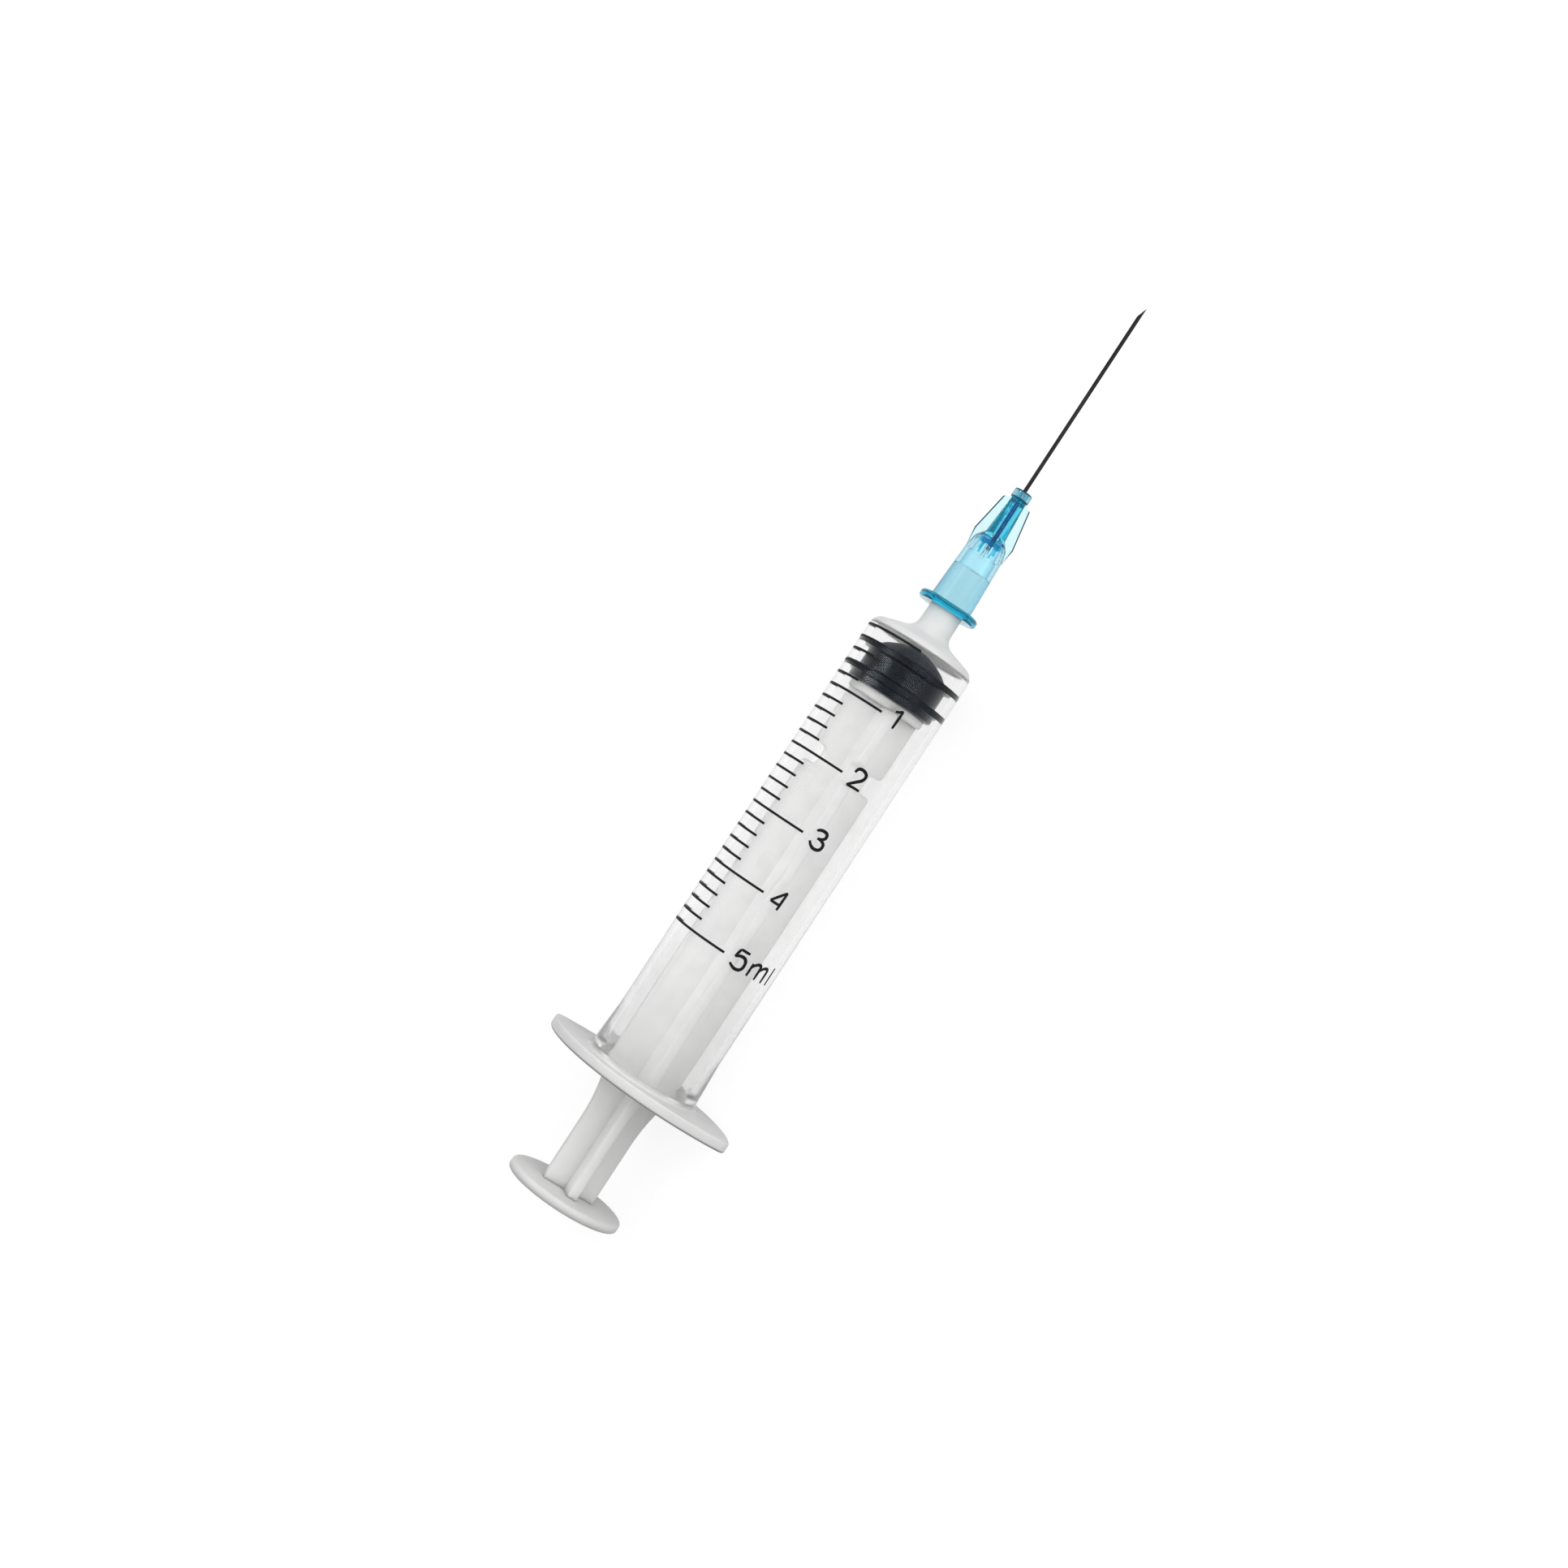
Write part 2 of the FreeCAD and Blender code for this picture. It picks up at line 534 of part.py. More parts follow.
def make_plunger_rod():
    """The rod: knob, seat disc, four flared and notched fins and the thumb press."""
    body = new_body("plunger_rod")
    knob = outline(body, "knob_profile", "XZ_Plane", [
        ("-sizes.seat_thickness", AXIS),
        ("-sizes.seat_thickness", "stations.seat_radius"),
        (AXIS, "stations.seat_radius"),
        (AXIS, "stations.knob_neck_radius"),
        ("stations.knob_start", "stations.knob_neck_radius"),
        ("stations.knob_start", "stations.knob_radius"),
        ("stations.knob_end", "stations.knob_radius"),
        ("stations.knob_end", AXIS),
    ])
    turn_profile(body, "Revolution", "rod_knob", knob)
    fin = outline(body, "fin_outline", "XZ_Plane", [
        ("stations.fin_root", AXIS),
        ("stations.fin_root", "stations.fin_radius"),
        ("stations.notch_front", "stations.fin_radius"),
        ("stations.notch_front", "stations.notch_radius"),
        ("stations.notch_rear", "stations.notch_radius"),
        ("stations.notch_rear", "stations.fin_radius"),
        ("stations.flare_end", "stations.fin_radius", "-sizes.flare_radius"),
        ("stations.flare_start", "stations.rod_neck_radius"),
        ("stations.fin_tail", "stations.rod_neck_radius"),
        ("stations.fin_tail", AXIS),
    ])
    one_fin = pad(body, "rod_fin", fin, "sizes.fin_thickness", middle=True)
    fins = four_fins(body, "rod_fins", one_fin)
    corners = []
    for number, edge in enumerate(fins.Shape.Edges, start=1):
        spots = [vertex.Point for vertex in edge.Vertexes]
        at_notch = any(all(abs(spot.x - value(x)) < TOUCHING for spot in spots)
                       for x in ("stations.notch_front", "stations.notch_rear"))
        if at_notch and abs(edge.Length - value("sizes.fin_thickness")) < TOUCHING:
            corners.append(number)
    break_edges(body, "notch_corners", "Fillet", fins, corners, "sizes.notch_round")
    press = outline(body, "press_profile", "XZ_Plane", [
        ("stations.press_back", AXIS),
        ("stations.press_back", "stations.press_face_radius"),
        ("stations.press_back_edge", "stations.press_radius"),
        ("stations.press_rim_edge", "stations.press_radius"),
        ("stations.press_rim", "stations.press_face_radius"),
        ("stations.press_rim", AXIS),
    ])
    turn_profile(body, "Revolution", "thumb_press", press)
    place(body, along="stations.rod_x", turn="sizes.fin_angle")
    return body


def make_needle_hub():
    """The hub: socket, lugged collar, dome, core with four fins, and nose."""
    body = new_body("needle_hub")
    profile = outline(body, "hub_outside", "XZ_Plane", [
        (AXIS, AXIS),
        (AXIS, "stations.hub_base_radius"),
        ("sizes.hub_body_length", "stations.hub_shoulder_radius"),
        ("stations.hub_facet_x", "stations.hub_facet_radius"),
        ("stations.core_x", "stations.core_base_radius"),
        ("stations.nose_x", "stations.core_end_radius"),
        ("stations.nose_x", "stations.nose_radius"),
        ("sizes.hub_length", "stations.nose_radius"),
        ("sizes.hub_length", AXIS),
    ])
    turn_profile(body, "Revolution", "hub_body", profile)
    lugs = outline(body, "collar_outline", "YZ_Plane", [
        ("stations.collar_flat", "-stations.collar_half_width", "stations.collar_radius"),
        ("stations.collar_flat", "stations.collar_half_width"),
        ("-stations.collar_flat", "stations.collar_half_width", "stations.collar_radius"),
        ("-stations.collar_flat", "-stations.collar_half_width"),
    ])
    collar = pad(body, "hub_collar", lugs, "sizes.collar_thickness")
    edges = rim(collar, (AXIS, "sizes.collar_thickness"), "stations.hub_base_radius")
    break_edges(body, "collar_rim", "Chamfer", collar, edges, "sizes.collar_chamfer")
    fin = outline(body, "hub_fin_outline", "XZ_Plane", [
        ("sizes.hub_fin_start", AXIS),
        ("sizes.hub_fin_start", "stations.hub_fin_start_radius"),
        ("sizes.hub_fin_crest", "stations.hub_fin_crest_radius"),
        ("sizes.hub_fin_end", "stations.hub_fin_end_radius"),
        ("stations.nose_x", "stations.core_end_radius"),
        ("stations.nose_x", AXIS),
    ])
    one_fin = pad(body, "hub_fin", fin, "sizes.hub_fin_thickness", middle=True)
    four_fins(body, "hub_fins", one_fin)
    inside = outline(body, "hub_inside", "XZ_Plane", [
        (AXIS, AXIS),
        (AXIS, "stations.socket_mouth_radius"),
        ("sizes.socket_length", "stations.socket_end_radius"),
        ("sizes.socket_length", "stations.ledge_radius"),
        ("sizes.cavity_end", "stations.cavity_roof_radius"),
        ("sizes.cavity_end", "stations.boss_radius"),
        ("stations.boss_x", "stations.boss_radius"),
        ("stations.boss_x", "stations.cannula_hole_radius"),
        ("stations.well_x", "stations.cannula_hole_radius"),
        ("stations.well_x", "stations.well_radius"),
        ("sizes.hub_length", "stations.well_radius"),
        ("sizes.hub_length", AXIS),
    ])
    turn_profile(body, "Groove", "hub_socket", inside)
    place(body, along="stations.hub_x", turn="sizes.hub_angle")
    return body


def make_cannula():
    """The steel tube with its ground point."""
    body = new_body("cannula")
    wall = outline(body, "cannula_wall", "XZ_Plane", [
        (AXIS, "stations.cannula_bore_radius"),
        (AXIS, "stations.cannula_radius"),
        ("stations.cannula_length", "stations.cannula_radius"),
        ("stations.cannula_length", "stations.cannula_bore_radius"),
    ])
    turn_profile(body, "Revolution", "cannula_tube", wall)
    ground = outline(body, "bevel_outline", "XY_Plane", [
        ("stations.bevel_start", "stations.bevel_reach"),
        ("stations.bevel_finish", "-stations.bevel_reach"),
        ("stations.bevel_finish", "stations.bevel_reach"),
    ])
    bevel = body.newObject("PartDesign::Pocket", "bevel")
    bevel.Profile = ground
    bevel.Midplane = True
    bevel.setExpression("Length", "sizes.cannula_diameter * 2")
    document.recompute()
    place(body, along="stations.cannula_x", turn="sizes.hub_angle")
    return body


def make_adhesive_bead():
    """The ring of adhesive that fills the well round the cannula."""
    body = new_body("adhesive_bead")
    section = outline(body, "bead_section", "XZ_Plane", [
        ("stations.well_x", "stations.cannula_radius"),
        ("stations.well_x", "stations.well_radius"),
        ("stations.adhesive_end", "stations.well_radius"),
        ("stations.adhesive_end", "stations.cannula_radius"),
    ])
    turn_profile(body, "Revolution", "bead_ring", section)
    place(body, along="stations.hub_x")
    return body


def check_all(bodies):
    """Stops if any object has failed, or a body has no valid solid."""
    document.recompute()
    for item in document.Objects:
        if "Invalid" in item.State or "Error" in item.State:
            raise RuntimeError(f"{item.Label} is {item.State}")
    for body in bodies:
        if body.Shape.isNull() or not body.Shape.isValid() or not body.Shape.Solids:
            raise RuntimeError(f"{body.Label} has no valid solid")


def main():
    bodies = [
        make_barrel(),
        make_graduation_marks(),
        make_stopper(),
        make_plunger_rod(),
        make_needle_hub(),
        make_cannula(),
        make_adhesive_bead(),
    ]
    check_all(bodies)
    os.makedirs("parts", exist_ok=True)
    for body in bodies:
        body.Shape.exportStep(os.path.join("parts", f"{body.Label}.step"))
        box = body.Shape.BoundBox
        print(f"{body.Label}: {len(body.Shape.Solids)} solid, {body.Shape.Volume:.2f} mm3,"
              f" x {box.XMin:.2f} to {box.XMax:.2f},"
              f" y {box.YMin:.2f} to {box.YMax:.2f}, z {box.ZMin:.2f} to {box.ZMax:.2f}")


main()
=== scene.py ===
"""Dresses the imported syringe: clear barrel, print, rubber stopper, frosted rod, blue hub."""
import math

import bmesh
import bpy
from mathutils import Matrix, Vector


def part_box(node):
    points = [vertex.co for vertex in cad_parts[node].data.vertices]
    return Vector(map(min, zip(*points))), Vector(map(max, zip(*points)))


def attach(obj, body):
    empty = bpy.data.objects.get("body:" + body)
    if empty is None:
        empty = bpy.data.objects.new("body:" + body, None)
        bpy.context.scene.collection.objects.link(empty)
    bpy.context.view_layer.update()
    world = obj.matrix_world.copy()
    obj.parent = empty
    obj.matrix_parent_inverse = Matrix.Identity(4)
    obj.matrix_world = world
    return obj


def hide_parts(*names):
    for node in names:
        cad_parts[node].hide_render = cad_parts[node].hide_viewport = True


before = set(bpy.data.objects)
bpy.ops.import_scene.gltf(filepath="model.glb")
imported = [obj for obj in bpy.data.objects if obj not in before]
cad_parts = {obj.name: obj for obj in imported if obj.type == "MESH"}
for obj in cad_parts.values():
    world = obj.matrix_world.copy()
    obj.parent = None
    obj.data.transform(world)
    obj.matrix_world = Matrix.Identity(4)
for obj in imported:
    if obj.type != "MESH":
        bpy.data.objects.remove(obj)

bl_info = {
    "name": "Luer Slip Syringe",
    "version": (1, 0, 0),
    "blender": (4, 5, 0),
    "location": "View3D > Sidebar > Syringe",
    "description": "Builds the visible pieces of a 5 ml luer slip syringe with its needle",
    "category": "Mesh",
}

MM = 0.001
# Corners sharper than this, in degrees, keep a crisp edge
CRISP = 32


# Sizes and colours that a user may change

def length(name, description, millimetres):
    """A length property with its default given in millimetres."""
    return bpy.props.FloatProperty(name=name, description=description,
                                   default=millimetres * MM, min=0, precision=5,
                                   subtype="DISTANCE", unit="LENGTH")


def colour(name, description, red, green, blue):
    """A colour property."""
    return bpy.props.FloatVectorProperty(name=name, description=description, size=3,
                                         default=(red, green, blue), min=0, max=1,
                                         subtype="COLOR")


class BarrelSettings(bpy.types.PropertyGroup):
    """The tube with its flange, shoulder and luer tip."""
    bore: length("Bore", "Inner diameter of the tube", 12.3)
    wall: length("Wall", "Thickness of the tube's wall", 0.88)
    bore_end: length("Bore length", "Flange's front face to the end wall", 60.6)
    flange_length: length("Flange length", "Wing tip to wing tip", 29.0)
    flange_width: length("Flange width", "Across the wings", 18.0)
    flange_thickness: length("Flange thickness", "Front face to rear face", 1.4)
    wing_round: length("Wing tip radius", "Radius round the ends of the wings", 1.44)
    shoulder: length("Shoulder corner", "Where the tube meets the front cone", 61.85)
    thin_front: length("Front wall", "How much thinner the front wall is drawn", 0.6)
    slope: bpy.props.FloatProperty(name="Shoulder slope", default=0.32, min=0,
                                   description="Rise of the front cone over its run")
    tip_end: length("Luer tip end", "Distance of the tip's face from the flange", 72.6)
    tip_diameter: length("Luer tip diameter", "Small end of the luer cone", 3.93)
    channel: length("Channel", "Diameter of the hole through the tip", 2.0)
    root: length("Root", "How much the tube widens at the flange, in radius", 0.35)
    snug: length("Snug fit", "How far the luer tip beds into the hub's socket", 0.08)
    clear: colour("Clear plastic", "Tint of the clear wall", 0.975, 0.976, 0.974)
    hazy: colour("Hazy plastic", "Tint of the thick, milky parts", 0.85, 0.85, 0.845)


class PrintSettings(bpy.types.PropertyGroup):
    """The printed numbers beside the scale."""
    height: length("Digit height", "Height of a printed digit", 2.40)
    width: length("Digit width", "Width of a printed digit", 1.95)
    stroke: length("Stroke", "Width of the pen stroke", 0.36)
    ink: length("Ink thickness", "How proud the ink stands", 0.03)
    raised: length("Raised", "Digit's middle in front of its line", 0.22)
    unit_width: length("Unit width", "Width of the letter m after the last digit", 2.9)
    volume: bpy.props.IntProperty(name="Volume", description="Millilitres on the scale",
                                  default=5, min=1, max=5)
    angle: bpy.props.FloatProperty(name="Digit angle", default=math.radians(45.5),
                                   description="Place of the digits round the tube",
                                   subtype="ANGLE", unit="ROTATION")
    black: colour("Ink", "Colour of the print", 0.006, 0.006, 0.007)


class StopperSettings(bpy.types.PropertyGroup):
    """The rubber stopper."""
    rib: length("Rib diameter", "Sealing ribs, pressed a little into the bore", 12.34)
    skirt: length("Skirt diameter", "Short skirt behind the rear rib", 11.6)
    waist: length("Waist diameter", "Between the ribs", 10.7)
    dome_foot: length("Dome foot", "Diameter at the foot of the dome", 9.8)
    rubber: colour("Rubber", "Colour of the rubber", 0.004, 0.0055, 0.010)
    # Painted sheen: the paler colour painted on the dome's top stands in for the light it reflects
    bloom: colour("Bloom", "Paler colour toward the top of the dome", 0.13, 0.145, 0.17)


class RodSettings(bpy.types.PropertyGroup):
    """The plunger rod."""
    fin_width: length("Fin width", "Across two fins inside the tube", 9.7)
    fin_thickness: length("Fin thickness", "Thickness of a fin", 1.25)
    neck_width: length("Neck width", "Across two fins near the press", 7.0)
    flare: length("Flare radius", "Arc between the neck and the wide fins", 23.0)
    press: length("Press diameter", "Thumb press", 15.3)
    soft_edge: length("Soft edge", "Radius along the fins' edges", 0.2)
    seat: length("Seat diameter", "Disc that pushes the stopper", 10.2)
    turn: bpy.props.FloatProperty(name="Fin angle", default=math.radians(45),
                                  description="Turn of the fins about the axis",
                                  subtype="ANGLE", unit="ROTATION")
    frosted: colour("Frosted plastic", "Colour of the rod", 0.97, 0.97, 0.96)


class NeedleSettings(bpy.types.PropertyGroup):
    """The hub, the cannula and the adhesive round it."""
    soft_edge: length("Soft edge", "Round along the edges of the hub's fins", 0.18)
    blue: colour("Blue plastic", "What one wall of the hub lets through", 0.66, 0.91, 0.98)
    pale: colour("Pale blue", "Tint of the thin fins", 0.72, 0.97, 1.0)
    # Partly painted shade: the edge-on tint also stands in for the dark edges refraction gives
    edge: colour("Edge blue", "Tint where the plastic is seen edge on", 0.05, 0.38, 0.56)
    deep: colour("Deep blue", "Tint of the thick core and the collar", 0.02, 0.52, 0.78)
    # Painted shade: a dark tint on the bevels along the hub's fins and nose, for the dark lines
    # refraction draws there
    outline: colour("Outline", "Tint of the fins' long edges", 0.015, 0.09, 0.15)
    steel: colour("Steel", "Colour of the cannula", 0.018, 0.018, 0.020)
    # Painted: the blue the cannula shows through the hub, not the steel's own colour
    inside: colour("Steel inside", "The cannula as it looks inside the hub", 0.0, 0.10, 0.30)
    adhesive: colour("Adhesive", "Colour of the cured adhesive", 0.30, 0.72, 0.88)


class StageSettings(bpy.types.PropertyGroup):
    """Camera, floor and light."""
    camera_tilt: bpy.props.FloatProperty(name="Camera tilt", default=math.radians(29),
                                         description="Camera's angle from straight above",
                                         subtype="ANGLE", unit="ROTATION")
    axis_angle: bpy.props.FloatProperty(name="Axis angle", default=math.radians(56.77),
                                        description="Syringe's axis above the picture's base",
                                        subtype="ANGLE", unit="ROTATION")
    aim_along: length("Aim along", "Point on the axis at the picture's middle", 38.85)
    aim_beside: length("Aim beside", "Distance of the picture's middle from the axis", 4.95)
    distance: length("Camera distance", "Camera to the aimed point", 270)
    focal: bpy.props.FloatProperty(name="Focal length", default=51.56, min=1,
                                   description="Lens in millimetres on a 36 mm sensor")
    floor_drop: length("Floor drop", "Floor below the syringe's axis", 9.05)
    world: bpy.props.FloatProperty(name="World light", default=0.85, min=0,
                                   description="Strength of the light from all round")
    dusk: bpy.props.FloatProperty(name="Dim side", default=0.2, min=0,
                                  description="The same from behind the thumb press")


class SyringeSettings(bpy.types.PropertyGroup):
    """All sizes and colours, piece by piece."""
    barrel: bpy.props.PointerProperty(type=BarrelSettings, name="Barrel")
    scale: bpy.props.PointerProperty(type=PrintSettings, name="Print")
    stopper: bpy.props.PointerProperty(type=StopperSettings, name="Stopper")
    rod: bpy.props.PointerProperty(type=RodSettings, name="Rod")
    needle: bpy.props.PointerProperty(type=NeedleSettings, name="Needle")
    stage: bpy.props.PointerProperty(type=StageSettings, name="Stage")


# Shapes

def profile(corners, closed=False):
    """A wire in the XZ plane through corners (x, radius, round), each rounded in place."""
    wire = bmesh.new()
    spots = [wire.verts.new((x, 0, r)) for x, r, _ in corners]
    pairs = list(zip(spots, spots[1:]))
    if closed:
        pairs.append((spots[-1], spots[0]))
    for pair in pairs:
        wire.edges.new(pair)
    rounds = [(spot, corner[2]) for spot, corner in zip(spots, corners) if corner[2]]
    for spot, radius in rounds:
        ways = [(edge.other_vert(spot).co - spot.co).normalized() for edge in spot.link_edges]
        turn = math.pi - ways[0].angle(ways[1])
        bmesh.ops.bevel(wire, geom=[spot], offset=radius * math.tan(turn / 2),
                        offset_type="OFFSET", segments=max(2, round(turn / math.radians(12))),
                        profile=0.5, affect="VERTICES", material=-1, clamp_overlap=False)
    return wire


def lathe(shape, steps):
    """Spins a profile once round the syringe's axis and closes it."""
    bmesh.ops.spin(shape, geom=shape.verts[:] + shape.edges[:], cent=(0, 0, 0),
                   axis=(1, 0, 0), dvec=(0, 0, 0), angle=math.tau, steps=steps,
                   use_merge=True, use_duplicate=False)
    bmesh.ops.remove_doubles(shape, verts=shape.verts, dist=1e-7)
    bmesh.ops.recalc_face_normals(shape, faces=shape.faces)


def finish_piece(shape, name, body, materials, replaced=()):
    """Turns a bmesh into a shown piece that rides on a body."""
    for face in shape.faces:
        face.smooth = True
    for edge in shape.edges:
        if len(edge.link_faces) == 2:
            edge.smooth = edge.calc_face_angle(0) < math.radians(CRISP)
    mesh = bpy.data.meshes.new(name)
    shape.to_mesh(mesh)
    shape.free()
    for material in materials:
        mesh.materials.append(material)
    piece = bpy.data.objects.new(name, mesh)
    bpy.context.scene.collection.objects.link(piece)
    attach(piece, body)
    if replaced:
        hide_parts(*replaced)
    return piece


# Materials

class Paint:
    """A material under construction: its nodes, links and main shader."""

    def __init__(self, name):
        self.material = bpy.data.materials.new(name)
        self.material.use_nodes = True
        self.nodes = self.material.node_tree.nodes
        self.links = self.material.node_tree.links
        self.shader = self.nodes["Principled BSDF"]

    def set(self, **sockets):
        """Sets sockets of the main shader, with _ for a space."""
        for name, setting in sockets.items():
            self.shader.inputs[name.replace("_", " ")].default_value = setting

    def grain(self, scale, stretch=(1, 1, 1), detail=3.0, roughness=0.5):
        """Noise on object coordinates, one unit a millimetre before the scale."""
        place = self.nodes.new("ShaderNodeTexCoord")
        mapping = self.nodes.new("ShaderNodeMapping")
        mapping.inputs["Scale"].default_value = [1000 * s for s in stretch]
        noise = self.nodes.new("ShaderNodeTexNoise")
        noise.inputs["Scale"].default_value = scale
        noise.inputs["Detail"].default_value = detail
        noise.inputs["Roughness"].default_value = roughness
        self.links.new(place.outputs["Object"], mapping.inputs["Vector"])
        self.links.new(mapping.outputs["Vector"], noise.inputs["Vector"])
        return noise.outputs["Fac"]

    def spread(self, factor, start, end, low, high):
        """Maps a factor between start and end to a range from low to high."""
        spread = self.nodes.new("ShaderNodeMapRange")
        for name, setting in (("From Min", start), ("From Max", end),
                              ("To Min", low), ("To Max", high)):
            spread.inputs[name].default_value = setting
        self.links.new(factor, spread.inputs["Value"])
        return spread.outputs["Result"]

    def between(self, factor, low, high, to):
        """Maps noise to a range and links it to a socket."""
        self.links.new(self.spread(factor, 0.3, 0.7, low, high), self.shader.inputs[to])

    def along(self, stations):
        """A smooth value given at places along the syringe's axis, in millimetres."""
        place = self.nodes.new("ShaderNodeTexCoord")
        parts = self.nodes.new("ShaderNodeSeparateXYZ")
        self.links.new(place.outputs["Object"], parts.inputs["Vector"])
        start, end = stations[0][0] * MM, stations[-1][0] * MM
        share = self.spread(parts.outputs["X"], start, end, 0, 1)
        ramp = self.nodes.new("ShaderNodeValToRGB")
        ramp.color_ramp.interpolation = "EASE"
        for index, (x, value) in enumerate(stations):
            spot = (x * MM - start) / (end - start)
            if index < 2:
                stop = ramp.color_ramp.elements[index]
                stop.position = spot
            else:
                stop = ramp.color_ramp.elements.new(spot)
            stop.color = (value, value, value, 1)
        self.links.new(share, ramp.inputs["Fac"])
        return ramp.outputs["Color"]

    def blend(self, factor, first, second):
        """A colour between two colours."""
        blend = self.nodes.new("ShaderNodeMix")
        blend.data_type = "RGBA"
        self.links.new(factor, blend.inputs["Factor"])
        blend.inputs["A"].default_value = (*first, 1)
        blend.inputs["B"].default_value = (*second, 1)
        return blend.outputs["Result"]

    def multiply(self, first, *others, to):
        """Multiplies colours or values together and links the product to a socket."""
        for other in others:
            product = self.nodes.new("ShaderNodeVectorMath")
            product.operation = "MULTIPLY"
            self.links.new(first, product.inputs[0])
            self.links.new(other, product.inputs[1])
            first = product.outputs["Vector"]
        self.links.new(first, self.shader.inputs[to])

    def tint(self, factor, dark, light, lower=0.3, upper=0.7):
        """Blends the base colour between two colours by a factor."""
        ramp = self.nodes.new("ShaderNodeValToRGB")
        ramp.color_ramp.elements[0].position = lower
        ramp.color_ramp.elements[0].color = (*dark, 1)
        ramp.color_ramp.elements[1].position = upper
        ramp.color_ramp.elements[1].color = (*light, 1)
        self.links.new(factor, ramp.inputs["Fac"])
        self.links.new(ramp.outputs["Color"], self.shader.inputs["Base Color"])

    def rim(self):
        """How far a surface turns away, for painting shade along the edges of clear plastic."""
        layer = self.nodes.new("ShaderNodeLayerWeight")
        layer.inputs["Blend"].default_value = 0.25
        return layer.outputs["Facing"]

    def bump(self, factor, depth, strength=0.5):
        """Relief of a given depth in millimetres."""
        relief = self.nodes.new("ShaderNodeBump")
        relief.inputs["Distance"].default_value = depth * MM
        relief.inputs["Strength"].default_value = strength
        self.links.new(factor, relief.inputs["Height"])
        self.links.new(relief.outputs["Normal"], self.shader.inputs["Normal"])


def shade(base, share):
    """A colour scaled by a share."""
    return tuple(min(1, channel * share) for channel in base)


def barrel_plastic(name, clear, milky, stations):
    """Polypropylene, clear in the thin tube and milky where stations along X say so."""
    paint = Paint(name)
    paint.set(IOR=1.49, Specular_IOR_Level=0.1, Specular_Tint=(0.06, 0.06, 0.06, 1),
              Subsurface_Scale=0.002, Subsurface_Radius=(1, 1, 1))
    clearness = paint.along(stations)
    paint.links.new(clearness, paint.shader.inputs["Transmission Weight"])
    glow = paint.spread(clearness, 0, 1, 0.4, 0)
    paint.links.new(glow, paint.shader.inputs["Subsurface Weight"])
    cloud = paint.spread(paint.grain(0.5), 0.3, 0.7, 0.97, 1.02)
    murk = paint.blend(clearness, milky, clear)
    # Painted shade: darker where the surface turns away, in place of the dark edges refraction gives
    edge = paint.blend(paint.spread(paint.rim(), 0.65, 1, 0, 1), (1, 1, 1), (0.4, 0.4, 0.4))
    # Painted shade: a dark band just in front of the flange's rear face
    back = stations[0][0]
    line = paint.along([(back, 1), (back + 0.02, 1), (back + 0.07, 0), (back + 0.4, 1)])
    rear = paint.blend(line, (0.3, 0.3, 0.3), (1, 1, 1))
    paint.multiply(murk, edge, rear, cloud, to="Base Color")
    lines = paint.grain(0.25, (0.05, 1, 1))
    skin = paint.spread(clearness, 0, 1, 0.38, 0.02)
    paint.links.new(skin, paint.shader.inputs["Roughness"])
    paint.bump(lines, 0.002, 0.1)
    return paint.material


def frosted_plastic(tone, rear):
    """The rod's matt, translucent plastic, with painted shade: a dark line at the press's rear edge
    and a greyer rod outside the barrel.
    """
    paint = Paint("frosted_polypropylene")
    paint.set(IOR=1.49, Specular_IOR_Level=0.35, Subsurface_Weight=0.8,
              Subsurface_Scale=0.004, Subsurface_Radius=(1, 1, 1))
    cloud = paint.spread(paint.grain(0.35, (0.4, 1, 1)), 0.3, 0.7, 0.98, 1.02)
    # Painted shade along the axis: dark at the press's rear edge, greyer outside the barrel than
    # inside it
    thick = paint.along([(rear, 0.82), (rear + 0.02, 0.82), (rear + 0.07, 0.5),
                         (rear + 0.9, 0.77), (rear + 16, 0.82), (rear + 21, 1)])
    paint.multiply(paint.blend(thick, (0, 0, 0), tone), cloud, to="Base Color")
    paint.between(paint.grain(3.0), 0.38, 0.52, "Roughness")
    paint.bump(paint.grain(6.0), 0.006, 0.25)
    return paint.material


def rubber(tone, bloom, front):
    """Moulded rubber with a fine satin skin, and a painted sheen that makes the top of its dome paler.
    """
    paint = Paint("black_rubber")
    paint.set(Specular_IOR_Level=0.2, Specular_Tint=(0.75, 0.88, 1, 1))
    # Painted sheen: the base colour turns paler toward the dome's top, where it would catch the light
    painted_dome_sheen = paint.along([(front - 7, 0), (front - 2.2, 0), (front - 1.6, 0.5), (front, 1)])
    cloud = paint.spread(paint.grain(1.2), 0.3, 0.7, 0.8, 1.2)
    paint.multiply(paint.blend(painted_dome_sheen, tone, bloom), cloud, to="Base Color")
    paint.between(paint.grain(2.0), 0.27, 0.33, "Roughness")
    paint.bump(paint.grain(3.0), 0.004, 0.15)
    return paint.material


def ink(tone):
    """Printed ink, a little uneven."""
    paint = Paint("black_ink")
    paint.set(Specular_IOR_Level=0.1)
    paint.tint(paint.grain(3.0), shade(tone, 0.7), shade(tone, 1.8))
    paint.between(paint.grain(8.0), 0.45, 0.6, "Roughness")
    paint.bump(paint.grain(14.0), 0.004, 0.3)
    return paint.material


def blue_plastic(name, tone, edge, clearness):
    """Clear blue polypropylene, deeper where its surface turns away: partly the longer path through
    the plastic, partly painted shade for the dark edges refraction gives.
    """
    paint = Paint(name)
    paint.set(IOR=1.49, Transmission_Weight=clearness, Specular_IOR_Level=0.2,
              Specular_Tint=(0.2, 0.2, 0.2, 1))
    paint.tint(paint.rim(), tone, edge, 0.08, 0.5)
    paint.between(paint.grain(2.0), 0.04, 0.09, "Roughness")
    paint.bump(paint.grain(3.0), 0.004, 0.15)
    return paint.material


